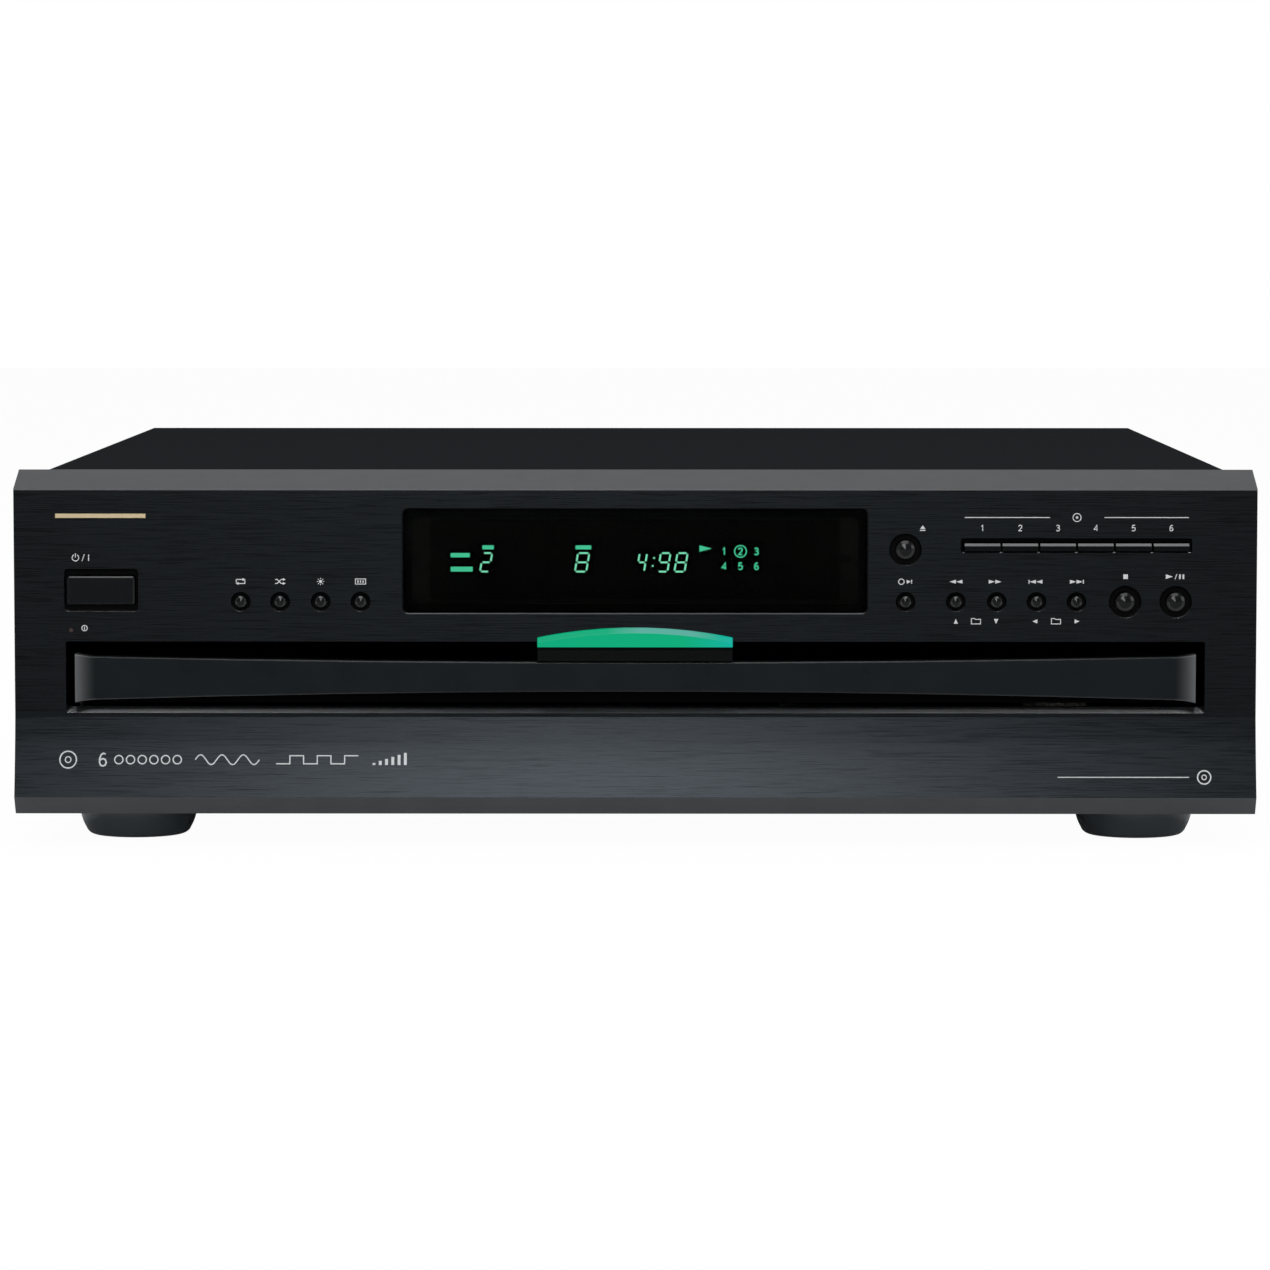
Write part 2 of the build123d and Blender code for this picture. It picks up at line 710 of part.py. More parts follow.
# Buttons: cap through the frame, flange behind it and a stem to the switch
FLANGE_Y = FRAME_FRONT_BACK + GAP
SWITCH_FRONT = BOARD_FRONT - SWITCH_T - PLUNGER_T


def stem_end(travel):
    """Back end of a stem that stops just short of its switch when the button is pressed."""
    return SWITCH_FRONT - GAP - travel


def round_button(label, x, z, cap_d):
    """Round button with a flat cone on its face and a sloped rim, turned about its own axis."""
    cap_r = cap_d / 2
    crown = (FACE_Y - CAP_PROUD, z)
    with BuildPart() as button:
        with BuildSketch(Plane.YZ.offset(x)):
            with BuildLine():
                Polyline(
                    crown,
                    (FACE_Y - CAP_PROUD + CAP_CONE, z + cap_r * CAP_RIM),
                    (FACE_Y - CAP_SIDE, z + cap_r),
                    (FLANGE_Y, z + cap_r),
                    (FLANGE_Y, z + cap_r + FLANGE_LIP),
                    (FLANGE_Y + FLANGE_T, z + cap_r + FLANGE_LIP),
                    (FLANGE_Y + FLANGE_T, z + STEM_D / 2),
                    (stem_end(PRESS), z + STEM_D / 2),
                    (stem_end(PRESS), z),
                    crown,
                )
            make_face()
        revolve(axis=Axis((x, 0, z), (0, 1, 0)))
    save(button, label)


for name, (button_x, button_z) in SMALL_BUTTONS.items():
    round_button(name, button_x, button_z, SMALL_CAP)
for name, (button_x, button_z) in LARGE_BUTTONS.items():
    round_button(name, button_x, button_z, LARGE_CAP)

# Power button: wide cap with a softened face
with BuildPart() as button_power:
    with BuildSketch(facing(FLANGE_Y)):
        with Locations((POWER_X, POWER_Z)):
            RectangleRounded(POWER_CAP[0], POWER_CAP[1], POWER_CAP_R)
    extrude(amount=FLANGE_Y - FACE_Y + CAP_PROUD)
    chamfer(button_power.edges().group_by(Axis.Y)[0], POWER_EDGE)
    with BuildSketch(facing(FLANGE_Y)):
        with Locations((POWER_X, POWER_Z)):
            Rectangle(POWER_CAP[0] + 2 * POWER_FLANGE_LIP, POWER_CAP[1] + 2 * POWER_FLANGE_LIP)
    extrude(amount=-FLANGE_T)
    with BuildSketch(facing(FLANGE_Y + FLANGE_T)):
        disc_at(POWER_X, POWER_Z, STEM_D)
    extrude(amount=-(stem_end(POWER_PRESS) - FLANGE_Y - FLANGE_T))
save(button_power, "button_power")


def disc_key(number, x):
    """Flat disc select key with a chamfered upper edge."""
    with BuildPart() as key:
        with BuildSketch(facing(FLANGE_Y)):
            with Locations((x, KEY_Z)):
                Rectangle(*KEY_CAP)
        extrude(amount=FLANGE_Y - FACE_Y + KEY_PROUD)
        front_edges = key.edges().group_by(Axis.Y)[0]
        chamfer(front_edges.sort_by(Axis.Z)[-1], KEY_EDGE)
        with BuildSketch(facing(FLANGE_Y)):
            with Locations((x, KEY_Z)):
                Rectangle(KEY_CAP[0], KEY_CAP[1] + 2 * KEY_FLANGE_LIP)
        extrude(amount=-FLANGE_T)
        with BuildSketch(facing(FLANGE_Y + FLANGE_T)):
            disc_at(x, KEY_Z, STEM_D)
        extrude(amount=-(stem_end(PRESS) - FLANGE_Y - FLANGE_T))
    save(key, f"key_disc_{number}")


for number, key_x in enumerate(KEY_X, start=1):
    disc_key(number, key_x)

# Tact switches: one behind each button, on the front board
SWITCH_PLACES = [*SMALL_BUTTONS.values(), *LARGE_BUTTONS.values(), (POWER_X, POWER_Z)]
SWITCH_PLACES += [(key_x, KEY_Z) for key_x in KEY_X]
with BuildPart() as tact_switches:
    with BuildSketch(facing(BOARD_FRONT)):
        with Locations(*SWITCH_PLACES):
            Rectangle(SWITCH_SIZE, SWITCH_SIZE)
    extrude(amount=SWITCH_T)
    with BuildSketch(facing(BOARD_FRONT - SWITCH_T)):
        with Locations(*SWITCH_PLACES):
            Circle(PLUNGER_D / 2)
    extrude(amount=PLUNGER_T)
save(tact_switches, "tact_switches")

# Standby lamp: light pipe from the board to the face of the plate
with BuildPart() as standby_lamp:
    with BuildSketch(facing(BOARD_FRONT)):
        disc_at(LAMP_X, LAMP_Z, LAMP_FLANGE_D)
    extrude(amount=BOARD_FRONT - FRAME_FRONT_BACK)
    with BuildSketch(facing(FRAME_FRONT_BACK)):
        disc_at(LAMP_X, LAMP_Z, LAMP_D)
    extrude(amount=FRAME_FRONT_BACK - FACE_Y + LAMP_PROUD)
save(standby_lamp, "standby_lamp")

# Lens holder: ledge across the top of the drawer slot, hung from the back of the frame
with BuildPart() as lens_holder:
    with BuildSketch(Plane.YZ):
        with BuildLine():
            Polyline(
                (FACE_Y, HOLDER_Z),
                (FACE_Y, LIGHT_Z[0] - HOLDER_STEP),
                (FACE_Y + HOLDER_LEDGE, LIGHT_Z[0] - HOLDER_STEP),
                (FACE_Y + HOLDER_LEDGE, LIGHT_Z[0]),
                (FRAME_FRONT_BACK, LIGHT_Z[0]),
                (FRAME_FRONT_BACK, HOLDER_WALL_TOP),
                (FRAME_FRONT_BACK + HOLDER_WALL_T, HOLDER_WALL_TOP),
                (FRAME_FRONT_BACK + HOLDER_WALL_T, HOLDER_Z),
                close=True,
            )
        make_face()
    extrude(amount=LIGHT_HALF, both=True)
save(lens_holder, "lens_holder")

# Tray light lens: crowned bar with a bevelled upper facet, resting on its holder
with BuildPart() as tray_light_lens:
    with BuildSketch(facing(FACE_Y + LIGHT_BACK)):
        with BuildLine():
            tray_light_outline()
        make_face()
    extrude(amount=LIGHT_BACK + LIGHT_PROUD)
    crown_edge = tray_light_lens.edges().group_by(Axis.Y)[0].sort_by(Axis.Z)[-1]
    chamfer(crown_edge, *LIGHT_FACET)
save(tray_light_lens, "tray_light_lens")

# Drawer front: bar that narrows to the middle, with tips that turn forward
BAR_BACK = TRAY_FRONT
BAR_FRONT = BAR_BACK - BAR_T
BAR_WAIST = BAR_HALF - BAR_TIP


def bar_edge(end_z, middle_z, flare):
    """Long edge of the bar in the front view: a flat arc whose last stretches turn outwards."""
    long_arc = ThreePointArc((-BAR_WAIST, end_z), (0, middle_z), (BAR_WAIST, end_z))
    TangentArc((BAR_WAIST, end_z), (BAR_HALF, end_z + flare), tangent=long_arc % 1)
    TangentArc((-BAR_WAIST, end_z), (-BAR_HALF, end_z + flare), tangent=-(long_arc % 0))


with BuildPart() as drawer_front:
    with BuildSketch(Plane.XY.offset(SLOT_Z[0])):
        with BuildLine():
            Line((-BAR_WAIST, BAR_FRONT), (BAR_WAIST, BAR_FRONT))
            for side in (-1, 1):
                TangentArc(
                    (side * BAR_WAIST, BAR_FRONT),
                    (side * BAR_HALF, BAR_FRONT - BAR_TIP_RISE),
                    tangent=(side, 0),
                )
                Line((side * BAR_HALF, BAR_FRONT - BAR_TIP_RISE), (side * BAR_HALF, BAR_BACK))
            Line((-BAR_HALF, BAR_BACK), (BAR_HALF, BAR_BACK))
        make_face()
    extrude(amount=SLOT_Z[1] - SLOT_Z[0])
    with BuildSketch(facing(BAR_BACK)):
        with BuildLine():
            bar_edge(BAR_END_Z[0], BAR_MIDDLE_Z[0], -BAR_TIP_FLARE)
            bar_edge(BAR_END_Z[1], BAR_MIDDLE_Z[1], BAR_TIP_FLARE)
            for side in (-BAR_HALF, BAR_HALF):
                Line((side, BAR_END_Z[0] - BAR_TIP_FLARE), (side, BAR_END_Z[1] + BAR_TIP_FLARE))
        make_face()
    extrude(amount=BAR_T + 2 * BAR_TIP_RISE, mode=Mode.INTERSECT)
    long_edges = drawer_front.edges().filter_by(lambda edge: edge.length > BAR_HALF)
    chamfer(long_edges.group_by(Axis.Y)[0], BAR_EDGE)
save(drawer_front, "drawer_front")

# Drawer tray: shallow moulding with a round basin, a bay for the lift and an inner rack
RACK_TEETH = int(DRAWER_TRAVEL / (pi * RACK_MODULE)) + RACK_SPARE_TEETH
RACK_FIRST = PINION_Y - RACK_LEAD_TEETH * pi * RACK_MODULE
RACK_END = RACK_FIRST + pi * RACK_MODULE * RACK_TEETH
RACK_BACK = RACK_LINE + RACK_MODULE * DEDENDUM + RACK_BAR
RACK_SLOT_X = PINION_X - PINION_R - RACK_MODULE - CUT
with BuildPart() as drawer_tray:
    with BuildSketch(Plane.XY.offset(TRAY_FLOOR_Z)):
        rect_between(-TRAY_HALF, TRAY_HALF, TRAY_FRONT, TRAY_BACK)
    extrude(amount=TRAY_TOP - TRAY_FLOOR_Z)
    fillet(drawer_tray.edges().filter_by(Axis.Z).group_by(Axis.Y)[-1], TRAY_CORNER_R)
    with BuildSketch(Plane.XY.offset(TRAY_DECK_Z)):
        disc_at(0, CAROUSEL_Y, 2 * BASIN_R)
    extrude(amount=TRAY_TOP, mode=Mode.SUBTRACT)
    with BuildSketch(Plane.XY.offset(TRAY_FLOOR_Z)):
        rect_between(-TRAY_HALF + TRAY_WALL, TRAY_HALF - TRAY_WALL,
                     TRAY_FRONT + TRAY_WALL, TRAY_BACK - TRAY_WALL, TRAY_INNER_R)
        with Locations((0, CAROUSEL_Y)):
            Circle(BASIN_R + TRAY_WALL, mode=Mode.SUBTRACT)
    extrude(amount=TRAY_TOP - TRAY_FLOOR_Z - TRAY_FLOOR, mode=Mode.SUBTRACT)
    with BuildSketch(Plane.XY.offset(TRAY_FLOOR_Z - CUT)):
        rect_between(-LIFT_BAY_W / 2, LIFT_BAY_W / 2, BAY_FRONT, TRAY_BACK + CUT)
    extrude(amount=TRAY_TOP, mode=Mode.SUBTRACT)
    with BuildSketch(Plane.XY.offset(TRAY_FLOOR_Z - CUT)):
        rect_between(RACK_SLOT_X, RACK_BACK, RACK_FIRST - pi * RACK_MODULE, RACK_END)
    extrude(amount=CUT + RACK_DEPTH, mode=Mode.SUBTRACT)
    with BuildSketch(Plane.XY.offset(TRAY_FLOOR_Z)):
        with BuildLine():
            Polyline(
                *rack_points(RACK_MODULE, RACK_LINE, RACK_FIRST, RACK_TEETH, RACK_BACK + CUT),
                close=True,
            )
        make_face()
    extrude(amount=TRAY_FLOOR + RACK_RISE)
    with BuildSketch(Plane.XY.offset(TRAY_DECK_Z)):
        disc_at(0, CAROUSEL_Y, BOSS_D)
    extrude(amount=BOSS_RISE)
    with BuildSketch(Plane.XY.offset(TRAY_DECK_Z)):
        with Locations((0, CAROUSEL_Y)):
            with PolarLocations(WELL_RING - PAD_INSET, 3, start_angle=30):
                Circle(PAD_D / 2)
    extrude(amount=CAROUSEL_UNDER - GAP - TRAY_DECK_Z, taper=PAD_TAPER)
    with BuildSketch(Plane.XY.offset(TRAY_FLOOR_Z - CUT)):
        disc_at(0, CAROUSEL_Y, AXLE_TAIL_D)
        disc_at(GEAR_X, GEAR_Y, GEAR_SHAFT_HOLE)
    extrude(amount=TRAY_TOP, mode=Mode.SUBTRACT)
save(drawer_tray, "drawer_tray")

# Carousel axle: shouldered pin with a flat head sunk into the hub
with BuildPart() as carousel_axle:
    with BuildSketch(Plane.XY.offset(TRAY_FLOOR_Z)):
        disc_at(0, CAROUSEL_Y, AXLE_TAIL_D)
    extrude(amount=TRAY_FLOOR + BOSS_RISE)
    with BuildSketch(Plane.XY.offset(TRAY_DECK_Z + BOSS_RISE)):
        disc_at(0, CAROUSEL_Y, AXLE_D)
    extrude(amount=AXLE_HEAD_Z - TRAY_DECK_Z - BOSS_RISE)
    with BuildSketch(Plane.XY.offset(AXLE_HEAD_Z)):
        disc_at(0, CAROUSEL_Y, AXLE_HEAD_D)
    extrude(amount=AXLE_HEAD_T)
    chamfer(carousel_axle.edges().group_by(Axis.Z)[-1], AXLE_EDGE)
save(carousel_axle, "carousel_axle")

# Carousel motor: under the tray floor, with its shaft up through the floor
with BuildPart() as carousel_motor:
    with BuildSketch(Plane.XY.offset(TRAY_FLOOR_Z - GEAR_MOTOR_H)):
        disc_at(GEAR_X, GEAR_Y, GEAR_MOTOR_D)
    extrude(amount=GEAR_MOTOR_H)
    fillet(carousel_motor.edges().group_by(Axis.Z)[0], MOTOR_EDGE)
    with BuildSketch(Plane.XY.offset(TRAY_FLOOR_Z)):
        disc_at(GEAR_X, GEAR_Y, GEAR_SHAFT_D)
    extrude(amount=GEAR_Z + GEAR_FACE - TRAY_FLOOR_Z)
save(carousel_motor, "carousel_motor")

# Carousel gear: small spur gear on the motor shaft
with BuildPart() as carousel_gear:
    with BuildSketch(Plane.XY.offset(GEAR_Z)):
        with Locations((GEAR_X, GEAR_Y)):
            Polygon(*gear_points(RING_MODULE, GEAR_TEETH, GEAR_DIRECTION + 180), align=None)
            Circle(GEAR_SHAFT_D / 2 + SHAFT_FIT, mode=Mode.SUBTRACT)
            with PolarLocations(GEAR_WEB_R, 4):
                Circle(GEAR_WEB_HOLE / 2, mode=Mode.SUBTRACT)
    extrude(amount=GEAR_FACE)
save(carousel_gear, "carousel_gear")

# Carousel: six stepped disc wells, each with a slot open to the rim, a hub and a ring gear
with BuildPart() as carousel:
    with BuildSketch(Plane.XY.offset(CAROUSEL_UNDER)):
        disc_at(0, CAROUSEL_Y, 2 * CAROUSEL_R)
    extrude(amount=CAROUSEL_TOP - CAROUSEL_UNDER)
    with BuildSketch(Plane.XY.offset(SKIRT_Z)):
        with Locations((0, CAROUSEL_Y)):
            Circle(CAROUSEL_R)
            Circle(CAROUSEL_R - CAROUSEL_RIM, mode=Mode.SUBTRACT)
    extrude(amount=SKIRT_DROP)
    with BuildSketch(Plane.XY.offset(CAROUSEL_TOP)):
        disc_at(0, CAROUSEL_Y, 2 * HUB_R)
    extrude(amount=HUB_RISE, taper=HUB_TAPER)
    with BuildSketch(Plane.XY.offset(WELL_FLOOR_Z)):
        with Locations((0, CAROUSEL_Y)):
            with PolarLocations(WELL_RING, WELL_COUNT, start_angle=90):
                Circle(WELL_D / 2)
    extrude(amount=WELL_DEPTH, mode=Mode.SUBTRACT)
    with BuildSketch(Plane.XY.offset(WELL_FLOOR_Z - SMALL_DISC_DEPTH)):
        with Locations((0, CAROUSEL_Y)):
            with PolarLocations(WELL_RING, WELL_COUNT, start_angle=90):
                Circle(SMALL_DISC_D / 2)
    extrude(amount=SMALL_DISC_DEPTH, mode=Mode.SUBTRACT)
    with BuildSketch(Plane.XY.offset(SKIRT_Z - CUT)):
        with Locations((0, CAROUSEL_Y)):
            with PolarLocations(WELL_RING, WELL_COUNT, start_angle=90):
                Circle(SLOT_W / 2)
                with Locations((WELL_D / 2, 0)):
                    Rectangle(WELL_D, SLOT_W)
    extrude(amount=HEIGHT, mode=Mode.SUBTRACT)
    with BuildSketch(Plane.XY.offset(GEAR_Z)):
        ring_phase = GEAR_DIRECTION + 180 / RING_TEETH
        with Locations((0, CAROUSEL_Y)):
            Polygon(*gear_points(RING_MODULE, RING_TEETH, ring_phase), align=None)
            Circle(RING_PITCH_R - RING_MODULE * DEDENDUM - RING_WALL, mode=Mode.SUBTRACT)
    extrude(amount=CAROUSEL_UNDER - GEAR_Z)
    with BuildSketch(Plane.XY.offset(TRAY_DECK_Z + BOSS_RISE + GAP)):
        disc_at(0, CAROUSEL_Y, BOSS_D)
    extrude(amount=CAROUSEL_UNDER - TRAY_DECK_Z - BOSS_RISE - GAP)
    with BuildSketch(Plane.XY.offset(TRAY_FLOOR_Z)):
        disc_at(0, CAROUSEL_Y, AXLE_D + 2 * SHAFT_FIT)
    extrude(amount=HEIGHT, mode=Mode.SUBTRACT)
    with BuildSketch(Plane.XY.offset(AXLE_HEAD_Z - GAP)):
        disc_at(0, CAROUSEL_Y, AXLE_HEAD_D + 2 * GAP)
    extrude(amount=HEIGHT, mode=Mode.SUBTRACT)
save(carousel, "carousel")

# Drawer rails: pair of bent channels that hold the tray's edges
RAIL_X = TRAY_HALF + RAIL_SIDE_GAP
RAIL_TOP = TRAY_TOP + GAP + RAIL_T
SHELF_TOP = TRAY_FLOOR_Z - GAP
RAIL_FRONT = CASE_FRONT + 2 * SHEET
with BuildPart() as drawer_rails:
    with BuildSketch(facing(RAIL_FRONT)):
        with BuildLine():
            Polyline(
                (RAIL_X + RAIL_FOOT, DECK_Z),
                (RAIL_X + RAIL_FOOT, DECK_Z + RAIL_T),
                (RAIL_X + RAIL_T, DECK_Z + RAIL_T),
                (RAIL_X + RAIL_T, RAIL_TOP),
                (RAIL_X - RAIL_LIP, RAIL_TOP),
                (RAIL_X - RAIL_LIP, RAIL_TOP - RAIL_T),
                (RAIL_X, RAIL_TOP - RAIL_T),
                (RAIL_X, SHELF_TOP),
                (RAIL_X - RAIL_SHELF, SHELF_TOP),
                (RAIL_X - RAIL_SHELF, SHELF_TOP - RAIL_T),
                (RAIL_X, SHELF_TOP - RAIL_T),
                (RAIL_X, DECK_Z),
                close=True,
            )
        make_face()
    extrude(amount=-RAIL_LENGTH)
    with BuildSketch(Plane.YZ.offset(RAIL_X - CUT)):
        with Locations((RAIL_FRONT + RAIL_LENGTH / 2, (DECK_Z + SHELF_TOP) / 2)):
            with GridLocations(RAIL_LENGTH / RAIL_WINDOWS, 1, RAIL_WINDOWS, 1):
                SlotOverall(*RAIL_WINDOW)
    extrude(amount=RAIL_T + 2 * CUT, mode=Mode.SUBTRACT)
    mirror(about=Plane.YZ)
save(drawer_rails, "drawer_rails")

# Drive bracket: raised plate on four legs with the axle of the drawer pinion
MOTOR_Y = PINION_Y + BELT_SPAN
BRACKET_TOP = PULLEY_Z - BRACKET_GAP
BRACKET_HALF = PULLEY_R + BRACKET_MARGIN
with BuildPart() as drive_bracket:
    with BuildSketch(Plane.XY.offset(BRACKET_TOP - BRACKET_T)):
        rect_between(PINION_X - BRACKET_HALF, PINION_X + BRACKET_HALF,
                     PINION_Y - PULLEY_R, MOTOR_Y + BRACKET_HALF, BRACKET_MARGIN)
        with Locations((PINION_X, MOTOR_Y)):
            Circle(MOTOR_SHAFT_D / 2 + MOTOR_SHAFT_ROOM, mode=Mode.SUBTRACT)
    extrude(amount=BRACKET_T)
    leg_middle_y = (PINION_Y - PULLEY_R + MOTOR_Y + BRACKET_HALF) / 2
    leg_span_y = MOTOR_Y + BRACKET_HALF - PINION_Y + PULLEY_R - LEG_T
    with BuildSketch(Plane.XY.offset(DECK_Z)):
        with Locations((PINION_X, leg_middle_y)):
            with GridLocations(2 * BRACKET_HALF - LEG_T, leg_span_y, 2, 2):
                RectangleRounded(LEG_T, LEG_T, LEG_R)
    extrude(amount=BRACKET_TOP - BRACKET_T - DECK_Z)
    with BuildSketch(Plane.XY.offset(BRACKET_TOP)):
        disc_at(PINION_X, PINION_Y, PINION_BORE)
    extrude(amount=PINION_TOP - BRACKET_TOP - AXLE_BELOW_PINION)
save(drive_bracket, "drive_bracket")

# Drawer motor: hung under the bracket
with BuildPart() as drawer_motor:
    with BuildSketch(Plane.XY.offset(BRACKET_TOP - BRACKET_T - MOTOR_H)):
        disc_at(PINION_X, MOTOR_Y, MOTOR_D)
    extrude(amount=MOTOR_H)
    fillet(drawer_motor.edges().group_by(Axis.Z)[0], MOTOR_EDGE)
    with BuildSketch(Plane.XY.offset(BRACKET_TOP - BRACKET_T)):
        disc_at(PINION_X, MOTOR_Y, MOTOR_SHAFT_D)
    extrude(amount=PULLEY_Z + PULLEY_T - BRACKET_TOP + BRACKET_T)
save(drawer_motor, "drawer_motor")


def pulley_profile(x, radius, bore_r):
    """Half section of a grooved pulley to the right of its axis at x."""
    groove = radius - BELT_T
    middle = PULLEY_Z + PULLEY_T / 2
    rise = BELT_H / 2 + GAP
    Polyline(
        (x + bore_r, PULLEY_Z),
        (x + radius, PULLEY_Z),
        (x + radius, middle - rise - 2 * GROOVE_RISE),
        (x + groove, middle - rise + GROOVE_RISE),
        (x + groove, middle + rise - GROOVE_RISE),
        (x + radius, middle + rise + 2 * GROOVE_RISE),
        (x + radius, PULLEY_Z + PULLEY_T),
        (x + bore_r, PULLEY_Z + PULLEY_T),
        close=True,
    )


# Drawer pinion: pulley and pinion in one piece, turning on the bracket's axle
with BuildPart() as drawer_pinion:
    with BuildSketch(Plane.XZ.offset(-PINION_Y)):
        with BuildLine():
            pulley_profile(PINION_X, PULLEY_R, PINION_BORE / 2 + SHAFT_FIT)
        make_face()
    revolve(axis=Axis((PINION_X, PINION_Y, 0), (0, 0, 1)))
    with BuildSketch(Plane.XY.offset(PULLEY_Z + PULLEY_T)):
        with Locations((PINION_X, PINION_Y)):
            Polygon(*gear_points(RACK_MODULE, PINION_TEETH, 0), align=None)
            Circle(PINION_BORE / 2 + SHAFT_FIT, mode=Mode.SUBTRACT)
    extrude(amount=PINION_TOP - PULLEY_Z - PULLEY_T)
save(drawer_pinion, "drawer_pinion")

# Motor pulley
with BuildPart() as motor_pulley:
    with BuildSketch(Plane.XZ.offset(-MOTOR_Y)):
        with BuildLine():
            pulley_profile(PINION_X, MOTOR_PULLEY_R, MOTOR_SHAFT_D / 2 + SHAFT_FIT)
        make_face()
    revolve(axis=Axis((PINION_X, MOTOR_Y, 0), (0, 0, 1)))
save(motor_pulley, "motor_pulley")

# Drawer belt: loop lying in both grooves
BELT_Z = PULLEY_Z + (PULLEY_T - BELT_H) / 2


def belt_loop(gap):
    """Two circles that a belt wraps, grown by gap."""
    disc_at(PINION_X, PINION_Y, 2 * (PULLEY_R - BELT_T + gap))
    disc_at(PINION_X, MOTOR_Y, 2 * (MOTOR_PULLEY_R - BELT_T + gap))


with BuildPart() as drawer_belt:
    with BuildSketch(Plane.XY.offset(BELT_Z)):
        belt_loop(BELT_GAP + BELT_T)
        make_hull()
    extrude(amount=BELT_H)
    with BuildSketch(Plane.XY.offset(BELT_Z)):
        belt_loop(BELT_GAP)
        make_hull()
    extrude(amount=BELT_H, mode=Mode.SUBTRACT)
save(drawer_belt, "drawer_belt")

# Lift base: plate with a slotted front wall, a ledge for the cam slider and guide posts
POST_PLACES = [
    (side * POST_X, y)
    for side in (-1, 1)
    for y in (LIFT_FRONT_Y + POST_INSET, LIFT_BACK_Y - POST_INSET)
]
PIN_SLOT = PIN_D + 2 * GAP
LEDGE_FRONT = CAM_Y - GAP - BASE_WALL
with BuildPart() as lift_base:
    with BuildSketch(Plane.XY.offset(DECK_Z)):
        rect_between(-LIFT_HALF, LIFT_HALF, LEDGE_FRONT, LIFT_BACK_Y, BASE_CORNER_R)
    extrude(amount=BASE_T)
    with BuildSketch(Plane.XY.offset(DECK_Z)):
        rect_between(-LIFT_HALF + BASE_RIM[0], LIFT_HALF - BASE_RIM[0],
                     BASE_WALL_Y + BASE_RIM[1], LIFT_BACK_Y - BASE_RIM[1], BASE_RIM[2])
    extrude(amount=BASE_T, mode=Mode.SUBTRACT)
    with BuildSketch(Plane.XY.offset(DECK_Z + BASE_T)):
        rect_between(-LIFT_HALF, LIFT_HALF, LEDGE_FRONT, BASE_WALL_Y)
    extrude(amount=CAM_Z[0] - GAP - DECK_Z - BASE_T)
    with BuildSketch(Plane.XY.offset(CAM_Z[0] - GAP)):
        rect_between(-LIFT_HALF, LIFT_HALF, LEDGE_FRONT, CAM_Y - GAP)
    extrude(amount=LEDGE_LIP)
    with BuildSketch(facing(BASE_WALL_Y)):
        rect_between(-LIFT_HALF + BASE_WALL_INSET, LIFT_HALF - BASE_WALL_INSET,
                     DECK_Z, CAM_Z[1])
        for pin_x in PIN_X:
            with Locations((pin_x, PIN_Z + LIFT_TRAVEL / 2)):
                SlotCenterToCenter(LIFT_TRAVEL, PIN_SLOT, rotation=90, mode=Mode.SUBTRACT)
    extrude(amount=-BASE_WALL)
    with BuildSketch(Plane.XY.offset(DECK_Z)):
        with Locations(*POST_PLACES):
            Circle(POST_D / 2)
    extrude(amount=POST_TOP - DECK_Z)
    with BuildSketch(Plane.XY.offset(DECK_Z)):
        with Locations(*POST_PLACES):
            Circle(POST_D)
    extrude(amount=BASE_T + POST_FOOT_RISE)
save(lift_base, "lift_base")

# Cam slider: plate whose slanted slots raise the lift's pins
with BuildPart() as cam_slider:
    with BuildSketch(facing(CAM_Y)):
        rect_between(min(PIN_X) - CAM_RUN - CAM_MARGIN, max(PIN_X) + CAM_MARGIN,
                     CAM_Z[0], CAM_Z[1], CAM_CORNER_R)
        for pin_x in PIN_X:
            with Locations((pin_x - CAM_RUN / 2, PIN_Z + LIFT_TRAVEL / 2)):
                SlotCenterToCenter(hypot(CAM_RUN, LIFT_TRAVEL), PIN_SLOT,
                                   rotation=degrees(atan2(LIFT_TRAVEL, -CAM_RUN)),
                                   mode=Mode.SUBTRACT)
    extrude(amount=-CAM_T)
save(cam_slider, "cam_slider")

